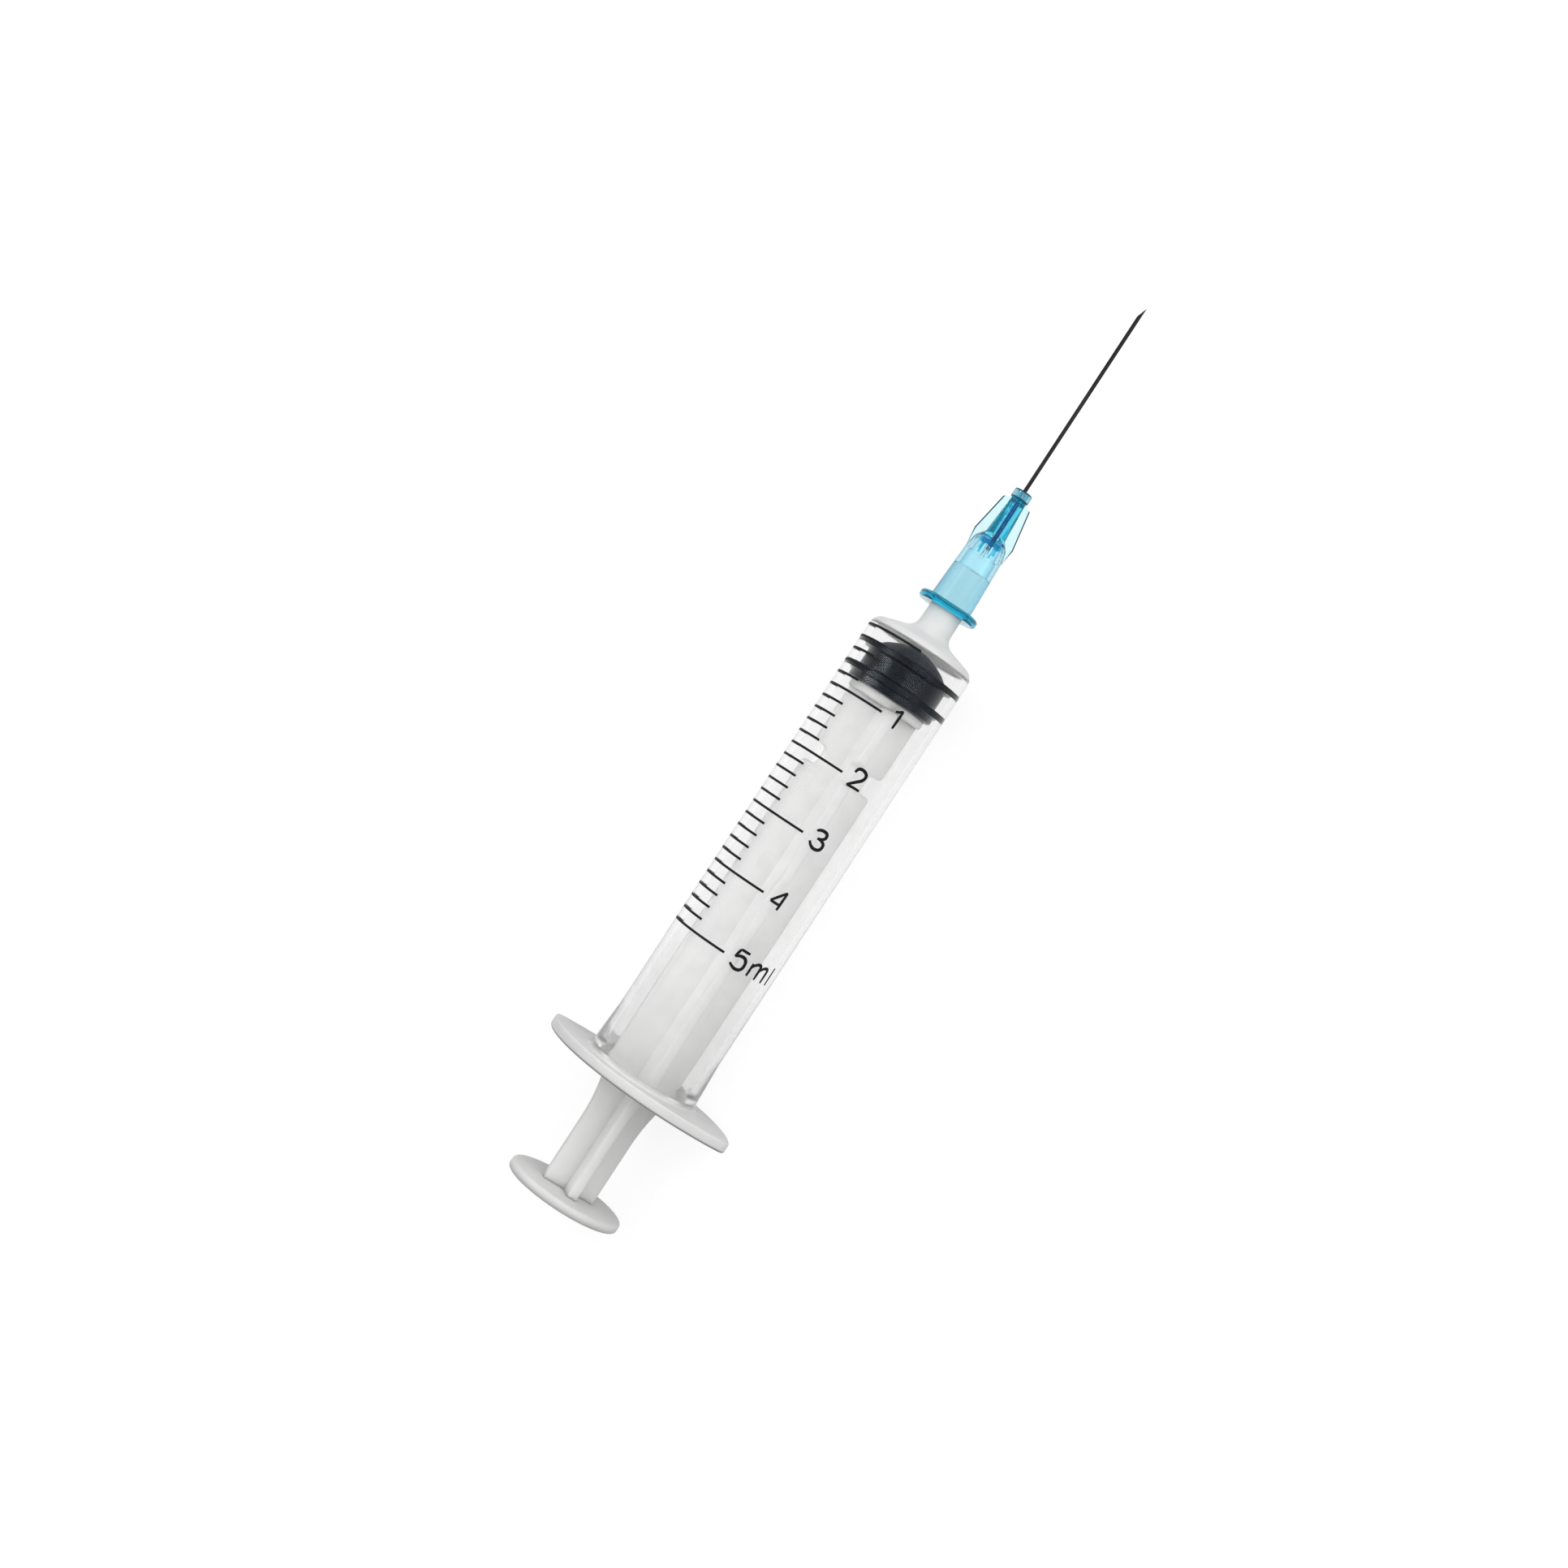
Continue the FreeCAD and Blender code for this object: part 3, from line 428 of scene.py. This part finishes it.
def steel(tone, painted_through_hub, hub_end):
    """Drawn steel with fine lines along the tube, painted blue inside the hub as it looks through the
    plastic.
    """
    paint = Paint("stainless_steel")
    paint.set(Metallic=1.0)
    lines = paint.grain(6.0, (0.05, 1, 1))
    streaks = paint.spread(lines, 0.3, 0.7, 0.7, 1.5)
    # Painted: inside the hub the steel takes the blue it shows through the plastic
    held = paint.along([(hub_end - 1.5, 0), (hub_end, 1)])
    paint.multiply(paint.blend(held, painted_through_hub, tone), streaks, to="Base Color")
    paint.between(lines, 0.22, 0.38, "Roughness")
    paint.bump(lines, 0.003, 0.2)
    return paint.material


def adhesive(tone):
    """Cured adhesive, glossy and a little cloudy."""
    paint = Paint("epoxy")
    paint.set(IOR=1.5, Transmission_Weight=0.6, Coat_Weight=0.3)
    paint.tint(paint.grain(2.0), shade(tone, 0.8), shade(tone, 1.2))
    paint.between(paint.grain(4.0), 0.08, 0.18, "Roughness")
    paint.bump(paint.grain(2.5), 0.02, 0.3)
    return paint.material


# Pieces

class SYRINGE_OT_barrel(bpy.types.Operator):
    """Makes the clear barrel with its flange, shoulder and luer tip"""
    bl_idname = "syringe.barrel"
    bl_label = "Barrel"

    def execute(self, context):
        size = context.scene.syringe.barrel
        bore = size.bore / MM / 2
        tube = bore + size.wall / MM
        mouth = -size.flange_thickness / MM
        end = size.bore_end / MM
        shoulder = size.shoulder / MM
        slope = size.slope
        tip = size.tip_end / MM
        tip_radius = size.tip_diameter / MM / 2
        half_width = size.flange_width / MM / 2
        tip_length = 10.75
        foot = tip_radius + 0.03 * tip_length
        neck_radius = (foot - 0.03 * slope * tube) / (1 - 0.03 * slope)
        neck = shoulder + slope * (tube - neck_radius)
        channel = size.channel / MM / 2
        end += size.thin_front / MM
        end_wall = end + slope * (bore - channel)
        corners = [
            (mouth, bore + 0.35, 0.1), (mouth + 0.35, bore, 0.3),
            (0.6, bore, 0.5), (1.2, bore - 0.1, 1.2), (1.8, bore, 0.5),
            (end, bore, 0.5), (end_wall, channel, 0.3), (tip, channel, 0.08),
            (tip, tip_radius, 0.2), (neck, neck_radius, 1.5), (shoulder, tube, 1.4),
            (6.5, tube, 20), (0, tube + size.root / MM, 0.8),
            (0, half_width, 0.3), (mouth, half_width, 0.3),
        ]
        shape = profile([(x * MM, r * MM, f * MM) for x, r, f in corners], closed=True)
        lathe(shape, 360)
        self.draw_wings(shape, size)
        for vert in shape.verts:
            if vert.co.x > (tip - 5.7) * MM and math.hypot(vert.co.y, vert.co.z) > 1.5 * MM:
                vert.co.yz *= 1 + size.snug / (tip_radius * MM)
        for face in shape.faces:
            spot = face.calc_center_median() / MM
            reach = math.hypot(spot.y, spot.z)
            cone = bore - max(0, spot.x - end) / slope
            face.material_index = 1 if reach < max(cone + 0.1, channel + 0.4) else 0
            if spot.x > tip - 5.5 and 0.02 < reach < channel + 0.1:
                face.material_index = 2
        skin = [(mouth, 0.15), (0.1, 0.15), (0.7, 0.8), (8, 0.86), (20, 1),
                (shoulder - 0.8, 1), (shoulder - 0.5, 0.12), (tip - 6, 0.12),
                (tip - 5.6, 0.93)]
        inside = [(mouth, 0.15), (mouth / 2, 0.6), (1.5, 1), (end_wall, 1), (tip, 0.97)]
        plastics = [barrel_plastic("clear_polypropylene", size.clear, size.hazy, skin),
                    barrel_plastic("clear_inner_polypropylene", size.clear, size.hazy, inside),
                    barrel_plastic("clear_channel_polypropylene", size.clear, size.hazy, inside)]
        plastics[2].node_tree.nodes["Principled BSDF"].inputs["IOR"].default_value = 1.02
        finish_piece(shape, "barrel_shell", "barrel_body", plastics,
                     ["barrel"])
        return {"FINISHED"}

    def draw_wings(self, shape, size):
        """Moves the round flange's outer part out to the outline of the two wings."""
        half_length, half_width = size.flange_length / 2 - 5e-6, size.flange_width / 2
        tip = size.wing_round
        centre = half_length - tip
        arc = (centre ** 2 + half_width ** 2 - tip ** 2) / (2 * (half_width - tip))
        drop = arc - half_width
        join = centre * arc / (arc - tip)
        start = size.bore / 2 + size.wall + size.root + 0.7 * MM
        for vert in shape.verts:
            radius = math.hypot(vert.co.y, vert.co.z)
            if vert.co.x > 1e-5 or radius < start:
                continue
            along, across = abs(vert.co.y) / radius, abs(vert.co.z) / radius
            reach = -drop * across + math.sqrt((drop * across) ** 2 - drop ** 2 + arc ** 2)
            if reach * along > join:
                reach = centre * along + math.sqrt(max(0, tip ** 2 - (centre * across) ** 2))
            share = (radius - start) / (half_width - start)
            grown = start + share * (reach - start)
            if radius > half_width - 0.31 * MM:
                grown = reach - (half_width - radius)
            vert.co.y *= grown / radius
            vert.co.z *= grown / radius


class SYRINGE_OT_scale(bpy.types.Operator):
    """Prints the numbers beside the scale and inks its lines"""
    bl_idname = "syringe.scale"
    bl_label = "Scale print"

    # Pen strokes in a box one wide and one high, as smooth runs of control points
    STROKES = {
        "1": [[(0.16, 0.80), (0.42, 0.84), (0.58, 1.0)], [(0.58, 1.0), (0.57, 0.5), (0.54, 0.0)]],
        "2": [[(0.12, 0.74), (0.14, 0.98), (0.5, 1.06), (0.88, 0.92), (0.84, 0.6),
               (0.45, 0.33), (0.06, 0.02)], [(0.06, 0.02), (0.5, 0.07), (0.98, 0.06)]],
        "3": [[(0.14, 0.84), (0.25, 1.0), (0.86, 1.0), (0.86, 0.6), (0.4, 0.54)],
              [(0.4, 0.54), (0.98, 0.56), (0.98, 0.04), (0.3, -0.02), (0.08, 0.26)]],
        "4": [[(0.72, 0.0), (0.74, 0.5), (0.76, 1.0)], [(0.76, 1.0), (0.4, 0.64), (0.06, 0.28)],
              [(0.06, 0.28), (0.4, 0.27), (0.82, 0.28)]],
        "5": [[(0.9, 1.0), (0.6, 0.99), (0.26, 1.0)], [(0.26, 1.0), (0.2, 0.8), (0.14, 0.54)],
              [(0.14, 0.54), (0.4, 0.74), (0.94, 0.66), (0.98, 0.08), (0.4, -0.04),
               (0.06, 0.16)]],
        "m": [[(0.06, 0.0), (0.07, 0.35), (0.06, 0.7)],
              [(0.06, 0.45), (0.2, 0.76), (0.5, 0.8), (0.5, 0.4), (0.5, 0.0)],
              [(0.5, 0.45), (0.64, 0.76), (0.94, 0.8), (0.94, 0.4), (0.94, 0.0)]],
        "l": [[(0.1, 0.0), (0.1, 0.5), (0.1, 1.0)]],
    }

    def execute(self, context):
        size = context.scene.syringe.scale
        barrel = context.scene.syringe.barrel
        radius = barrel.bore / 2 + barrel.wall
        pitch = 1e-6 / (math.pi / 4 * barrel.bore ** 2)
        black = ink(size.black)
        half = size.width / 2 / radius
        letters = [(str(number), number, size.angle - half, size.width) for number in
                   range(1, size.volume + 1)]
        unit = size.angle + half + 0.095
        letters += [("m", size.volume, unit, size.unit_width),
                    ("l", size.volume, unit + size.unit_width / radius + 0.11, size.width)]
        whole = bmesh.new()
        for letter, number, start, width in letters:
            across = barrel.bore_end - number * pitch + size.raised
            self.write(whole, letter, size, width, radius, start, across)
        bmesh.ops.recalc_face_normals(whole, faces=whole.faces)
        finish_piece(whole, "scale_digits", "barrel_body", [black])
        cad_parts["graduation_marks"].data.materials.clear()
        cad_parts["graduation_marks"].data.materials.append(black)
        return {"FINISHED"}

    def write(self, whole, letter, size, width, radius, start, across):
        """Draws a letter flat as pen strokes, then wraps it round the tube."""
        for stroke in self.STROKES[letter]:
            path = bpy.data.curves.new("stroke", "CURVE")
            path.dimensions = "3D"
            path.bevel_depth = size.stroke / 2
            path.bevel_resolution = 2
            path.use_fill_caps = True
            path.resolution_u = 10
            spline = path.splines.new("NURBS")
            spline.points.add(len(stroke) - 1)
            for point, (x, y) in zip(spline.points, stroke):
                point.co = (x * width, (y - 0.5) * size.height, 0, 1)
                point.radius = 0.8 if point in (spline.points[0], spline.points[-1]) else 1.15
            spline.order_u = 3
            spline.use_endpoint_u = True
            holder = bpy.data.objects.new("stroke", path)
            drawn = bpy.data.meshes.new_from_object(holder)
            known = len(whole.verts)
            whole.from_mesh(drawn)
            whole.verts.ensure_lookup_table()
            bpy.data.objects.remove(holder)
            bpy.data.curves.remove(path)
            bpy.data.meshes.remove(drawn)
            for vert in whole.verts[known:]:
                angle = start + vert.co.x / radius
                proud = radius + vert.co.z * size.ink / size.stroke * 2
                vert.co = (across + vert.co.y, -proud * math.sin(angle),
                           proud * math.cos(angle))


class SYRINGE_OT_stopper(bpy.types.Operator):
    """Makes the rubber stopper with its dome and two ribs"""
    bl_idname = "syringe.stopper"
    bl_label = "Stopper"

    def execute(self, context):
        size = context.scene.syringe.stopper
        low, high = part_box("stopper")
        rear, front = low.x / MM, high.x / MM
        rib, skirt, waist = (d / MM / 2 for d in (size.rib, size.skirt, size.waist))
        foot = size.dome_foot / MM / 2
        corners = [
            (rear, 0, 0), (rear, skirt, 0.25), (rear + 0.85, skirt, 0.1),
            (rear + 0.90, rib, 0.12), (rear + 1.75, rib, 0.12), (rear + 1.80, waist, 0.25),
            (rear + 4.10, waist, 0.25), (rear + 4.14, rib, 0.12), (rear + 4.91, rib, 0.12),
            (rear + 4.95, foot, 0.05), (front, 2.88, 6.7), (front, 0, 0),
        ]
        shape = profile([(x * MM, r * MM, f * MM) for x, r, f in corners])
        lathe(shape, 160)
        finish_piece(shape, "rubber_stopper", "stopper_body", [rubber(size.rubber, size.bloom, front)],
                     ["stopper"])
        return {"FINISHED"}


class SYRINGE_OT_rod(bpy.types.Operator):
    """Makes the plunger rod: four flared and notched fins, seat disc, knob and press"""
    bl_idname = "syringe.rod"
    bl_label = "Plunger rod"

    def execute(self, context):
        size = context.scene.syringe.rod
        low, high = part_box("plunger_rod")
        seat = high.x - 3.86 * MM
        shape = self.fins(size, seat, low.x)
        rear = low.x / MM
        front = seat / MM
        press = size.press / MM / 2
        disc = [(rear, 0, 0), (rear, press, 0.4), (rear + 1.25, press, 0.4),
                (rear + 1.25, 0, 0)]
        seat_radius = size.seat / MM / 2
        knob = [(front - 1, 0, 0), (front - 1, seat_radius, 0.2), (front, seat_radius, 0.2),
                (front, 2.3, 0.1), (front + 1.66, 2.3, 0.1), (front + 1.66, 3.4, 0.2),
                (front + 3.86, 3.4, 0.4), (front + 3.86, 0, 0)]
        for corners in (disc, knob):
            turned = profile([(x * MM, r * MM, f * MM) for x, r, f in corners])
            lathe(turned, 160)
            spare = bpy.data.meshes.new("turned")
            turned.to_mesh(spare)
            turned.free()
            shape.from_mesh(spare)
            bpy.data.meshes.remove(spare)
        finish_piece(shape, "rod_frosted", "rod_body", [frosted_plastic(size.frosted, rear)],
                     ["plunger_rod"])
        return {"FINISHED"}

    def fins(self, size, seat, rear):
        """Draws the cross of fins along the axis, its tips following their outline."""
        outer, neck = size.fin_width / 2, size.neck_width / 2
        half = size.fin_thickness / 2
        outline = [(seat - 0.5 * MM, outer, 0), (seat - 8.7 * MM, outer, 0.6 * MM),
                   (seat - 8.72 * MM, 3.2 * MM, 0.6 * MM), (seat - 11.18 * MM, 3.2 * MM, 0.6 * MM),
                   (seat - 11.2 * MM, outer, 0.6 * MM)]
        wire = profile(outline + [(0.0, outer, 0)])
        stations = sorted(((v.co.x, v.co.z) for v in wire.verts), reverse=True)
        wire.free()
        start = rear + 9.65 * MM
        rise = outer - neck
        run = math.sqrt(rise * (2 * size.flare - rise))
        stations = [s for s in stations if s[0] > start + run]
        for step in range(25):
            x = start + run * (1 - step / 24)
            stations.append((x, neck + size.flare - math.sqrt(size.flare ** 2 - (x - start) ** 2)))
        stations.append((rear + 0.6 * MM, neck))
        cross = bmesh.new()
        ring = []
        for quarter in range(4):
            turn = Matrix.Rotation(size.turn + quarter * math.pi / 2, 3, "X")
            for across, up in ((-half, 1), (half, 1), (half, half)):
                ring.append(cross.verts.new(turn @ Vector((0, -across, up))))
        spots = list(ring)
        face = cross.faces.new(ring)
        self.place_ring(spots, stations[0], size.turn, half)
        for number, station in enumerate(stations[1:]):
            grown = bmesh.ops.extrude_face_region(cross, geom=[face])
            if number:
                bmesh.ops.delete(cross, geom=[face], context="FACES_ONLY")
            face = next(g for g in grown["geom"] if isinstance(g, bmesh.types.BMFace))
            spots = list(face.verts)
            self.place_ring(spots, station, size.turn, half)
        bmesh.ops.recalc_face_normals(cross, faces=cross.faces)
        long_edges = [edge for edge in cross.edges if edge.is_convex
                      and edge.calc_face_angle(0) > math.radians(60)
                      and abs(edge.verts[0].co.x - edge.verts[1].co.x) > 1e-6]
        bmesh.ops.bevel(cross, geom=long_edges, offset=size.soft_edge, offset_type="OFFSET",
                        segments=3, profile=0.5, affect="EDGES", material=-1,
                        clamp_overlap=False)
        return cross

    def place_ring(self, spots, station, turn, half):
        """Sets one ring of the cross to its place along the axis and its tip radius."""
        x, reach = station
        back = Matrix.Rotation(-turn, 3, "X")
        for spot in spots:
            flat = back @ spot.co
            y, z = flat.y, flat.z
            if max(abs(y), abs(z)) > half * 1.5:
                if abs(y) > abs(z):
                    y = math.copysign(reach, y)
                else:
                    z = math.copysign(reach, z)
            spot.co = back.inverted() @ Vector((x, y, z))


class SYRINGE_OT_needle(bpy.types.Operator):
    """Makes the blue hub and finishes the cannula and the adhesive"""
    bl_idname = "syringe.needle"
    bl_label = "Needle"

    def execute(self, context):
        size = context.scene.syringe.needle
        shape = bmesh.new()
        shape.from_mesh(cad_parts["needle_hub"].data)
        bmesh.ops.remove_doubles(shape, verts=shape.verts, dist=1e-6)
        bmesh.ops.recalc_face_normals(shape, faces=shape.faces)
        low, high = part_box("needle_hub")
        bmesh.ops.dissolve_limit(shape, angle_limit=math.radians(0.5), verts=shape.verts,
                                 edges=shape.edges, use_dissolve_boundaries=False)
        sharp = [edge for edge in shape.edges if self.on_outline(edge, low.x, high.x)]
        made = bmesh.ops.bevel(shape, geom=sharp, offset=size.soft_edge, offset_type="OFFSET",
                               segments=2, profile=0.5, affect="EDGES", material=-1,
                               clamp_overlap=False)
        for face in shape.faces:
            face.material_index = self.tint_at(face, low.x)
        # The bevels get the dark outline tint: painted shade for refraction's dark lines
        for face in made["faces"]:
            face.material_index = 3
        finish_piece(shape, "hub_blue", "needle_body",
                     [blue_plastic("blue_polypropylene", size.blue, size.edge, 1.0),
                      blue_plastic("deep_blue_polypropylene", size.deep, size.deep, 0.8),
                      blue_plastic("pale_blue_polypropylene", size.pale, size.pale, 1.0),
                      blue_plastic("painted_edge_shade_polypropylene", size.outline, size.outline, 0.5)],
                     ["needle_hub"])
        for node, material in (("cannula", steel(size.steel, size.inside, high.x / MM)),
                               ("adhesive_bead", adhesive(size.adhesive))):
            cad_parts[node].data.materials.clear()
            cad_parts[node].data.materials.append(material)
        return {"FINISHED"}

    def tint_at(self, face, start):
        """0 for the walls, 1 for the thick core, dome and collar, 2 for the thin fins."""
        spot = face.calc_center_median()
        along, reach = (spot.x - start) / MM, math.hypot(spot.y, spot.z) / MM
        if along < 1.1 and reach > 2.75:
            return 1
        if along > 8.1 and abs(face.normal.dot(Vector((0, spot.y, spot.z)))) < 0.3 * reach * MM:
            if abs(face.normal.x) < 0.1 and reach > 1.3:
                return 2
        return 1 if 9.2 < along < 15.95 and 0.3 < reach < 1.7 else 0

    def on_outline(self, edge, start, end):
        """True for the long outer edges of the hub's fins and for its nose's rims."""
        if len(edge.link_faces) != 2 or not edge.is_convex:
            return False
        if edge.calc_face_angle(0) < math.radians(70):
            return False
        spots = [((vert.co.x - start) / MM, math.hypot(vert.co.y, vert.co.z) / MM)
                 for vert in edge.verts]
        length = (end - start) / MM
        fin = (all(8.15 < x < length - 1.25 and reach > 1.3 for x, reach in spots)
               and abs(spots[0][0] - spots[1][0]) > 0.3)
        nose = all(x > length - 1.3 and reach > 1.15 for x, reach in spots)
        return fin or nose


class SYRINGE_OT_stage(bpy.types.Operator):
    """Sets up the pale floor, the soft light and the camera"""
    bl_idname = "syringe.stage"
    bl_label = "Stage"

    def execute(self, context):
        size = context.scene.syringe.stage
        toward = Vector((0, -math.sin(size.camera_tilt), math.cos(size.camera_tilt)))
        beside = Vector((0, -math.cos(size.camera_tilt), -math.sin(size.camera_tilt)))
        along = Vector((1, 0, 0))
        lean = size.axis_angle
        right = math.cos(lean) * along + math.sin(lean) * beside
        up = math.sin(lean) * along - math.cos(lean) * beside
        aim = along * size.aim_along - beside * size.aim_beside
        self.camera(context, size, aim, right, up, toward)
        self.lamp("key_light", aim, 0.45, 0.20, 0.25, -0.75 * right + 0.65 * up + 0.7 * toward)
        glint = self.lamp("glint", aim, 0.45, 0.18, 0.6, -0.71 * right + 0.46 * up + 0.53 * toward)
        glint.visible_camera = glint.visible_diffuse = False
        self.lamp("fill_light", aim, 0.60, 0.50, 1.35, 0.65 * right + 0.1 * up + toward)
        self.world(context, size)
        self.floor(context, size)
        return {"FINISHED"}

    def camera(self, context, size, aim, right, up, toward):
        """The photograph's point of view."""
        lens = bpy.data.cameras.new("camera")
        lens.lens = size.focal
        lens.sensor_width = 36
        lens.clip_start = 0.01
        lens.clip_end = 10
        view = bpy.data.objects.new("camera", lens)
        turned = Matrix((right, up, toward)).transposed().to_4x4()
        view.matrix_world = Matrix.Translation(aim + toward * size.distance) @ turned
        context.scene.collection.objects.link(view)
        context.scene.camera = view

    def lamp(self, name, aim, away, width, power, direction):
        """A square soft light that looks at the aimed point."""
        light = bpy.data.lights.new(name, "AREA")
        light.shape = "SQUARE"
        light.size = width
        light.energy = power
        holder = bpy.data.objects.new(name, light)
        direction = direction.normalized()
        holder.matrix_world = (Matrix.Translation(aim + direction * away)
                               @ direction.to_track_quat("Z", "Y").to_matrix().to_4x4())
        bpy.context.scene.collection.objects.link(holder)
        return holder

    def seen_directly(self, nodes, links, through):
        """One for camera rays, a share for glossy and transmission rays, none for the rest."""
        path = nodes.new("ShaderNodeLightPath")
        total = path.outputs["Is Camera Ray"]
        for ray in ("Is Glossy Ray", "Is Transmission Ray"):
            share = nodes.new("ShaderNodeMath")
            share.operation = "MULTIPLY"
            share.inputs[1].default_value = through
            links.new(path.outputs[ray], share.inputs[0])
            widest = nodes.new("ShaderNodeMath")
            widest.operation = "MAXIMUM"
            links.new(total, widest.inputs[0])
            links.new(share.outputs["Value"], widest.inputs[1])
            total = widest.outputs["Value"]
        return total

    def world(self, context, size):
        """Even light, dimmer from behind the thumb press, and white where it is seen."""
        world = bpy.data.worlds.new("studio")
        world.use_nodes = True
        context.scene.world = world
        nodes, links = world.node_tree.nodes, world.node_tree.links
        way = nodes.new("ShaderNodeTexCoord")
        parts = nodes.new("ShaderNodeSeparateXYZ")
        links.new(way.outputs["Generated"], parts.inputs["Vector"])
        lit = self.ramp(nodes, links, parts.outputs["X"], -0.9, 0.3, size.dusk, size.world)
        strength = self.mix(nodes, links, self.seen_directly(nodes, links, 1), lit, 1)
        links.new(strength, nodes["Background"].inputs["Strength"])
        nodes["Background"].inputs["Color"].default_value = (1, 1, 1, 1)

    def ramp(self, nodes, links, value, start, end, low, high):
        """A smooth change from low to high as a value goes from start to end."""
        spread = nodes.new("ShaderNodeMapRange")
        spread.interpolation_type = "SMOOTHSTEP"
        for name, setting in (("From Min", start), ("From Max", end),
                              ("To Min", low), ("To Max", high)):
            spread.inputs[name].default_value = setting
        links.new(value, spread.inputs["Value"])
        return spread.outputs["Result"]

    def mix(self, nodes, links, factor, first, second):
        """Blends two numbers or sockets by a factor."""
        blend = nodes.new("ShaderNodeMix")
        links.new(factor, blend.inputs["Factor"])
        for name, value in (("A", first), ("B", second)):
            if isinstance(value, (int, float)):
                blend.inputs[name].default_value = value
            else:
                links.new(value, blend.inputs[name])
        return blend.outputs["Result"]

    def floor(self, context, size):
        """A pale floor that keeps the shadow and is white beside it."""
        shape = bmesh.new()
        bmesh.ops.create_grid(shape, x_segments=8, y_segments=8, size=1.5)
        bmesh.ops.translate(shape, verts=shape.verts, vec=(0, 0, -size.floor_drop))
        mesh = bpy.data.meshes.new("floor")
        shape.to_mesh(mesh)
        shape.free()
        material = bpy.data.materials.new("floor")
        material.use_nodes = True
        nodes, links = material.node_tree.nodes, material.node_tree.links
        shader = nodes["Principled BSDF"]
        shader.inputs["Base Color"].default_value = (0.30, 0.30, 0.30, 1)
        shader.inputs["Roughness"].default_value = 0.9
        shader.inputs["Specular IOR Level"].default_value = 0
        shader.inputs["Emission Color"].default_value = (1, 1, 1, 1)
        glow = nodes.new("ShaderNodeMath")
        glow.operation = "MULTIPLY"
        glow.inputs[1].default_value = 0.80
        links.new(self.seen_directly(nodes, links, 0.89), glow.inputs[0])
        links.new(glow.outputs["Value"], shader.inputs["Emission Strength"])
        mesh.materials.append(material)
        piece = bpy.data.objects.new("floor", mesh)
        context.scene.collection.objects.link(piece)


class SYRINGE_PT_pieces(bpy.types.Panel):
    """Lists the pieces and the stage in the sidebar"""
    bl_idname = "SYRINGE_PT_pieces"
    bl_label = "Syringe"
    bl_space_type = "VIEW_3D"
    bl_region_type = "UI"
    bl_category = "Syringe"

    def draw(self, context):
        for group, operators in GROUPS:
            box = self.layout.box()
            settings = getattr(context.scene.syringe, group)
            for name in settings.bl_rna.properties.keys():
                if name not in ("rna_type", "name"):
                    box.prop(settings, name)
            for operator in operators:
                box.operator(operator.bl_idname)


GROUPS = (
    ("barrel", (SYRINGE_OT_barrel,)),
    ("scale", (SYRINGE_OT_scale,)),
    ("stopper", (SYRINGE_OT_stopper,)),
    ("rod", (SYRINGE_OT_rod,)),
    ("needle", (SYRINGE_OT_needle,)),
    ("stage", (SYRINGE_OT_stage,)),
)

CLASSES = (
    BarrelSettings, PrintSettings, StopperSettings, RodSettings, NeedleSettings,
    StageSettings, SyringeSettings,
    SYRINGE_OT_barrel, SYRINGE_OT_scale, SYRINGE_OT_stopper, SYRINGE_OT_rod,
    SYRINGE_OT_needle, SYRINGE_OT_stage, SYRINGE_PT_pieces,
)


def register():
    """Registers the classes and the scene's settings."""
    for item in CLASSES:
        bpy.utils.register_class(item)
    bpy.types.Scene.syringe = bpy.props.PointerProperty(type=SyringeSettings)


def unregister():
    """Takes them away again."""
    del bpy.types.Scene.syringe
    for item in reversed(CLASSES):
        bpy.utils.unregister_class(item)


def main():
    """Builds every piece and the stage."""
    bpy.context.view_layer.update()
    register()
    bpy.context.scene.view_settings.view_transform = "Standard"
    bpy.ops.syringe.stage()
    bpy.ops.syringe.barrel()
    bpy.ops.syringe.scale()
    bpy.ops.syringe.stopper()
    bpy.ops.syringe.rod()
    bpy.ops.syringe.needle()


if __name__ == "__main__":
    main()
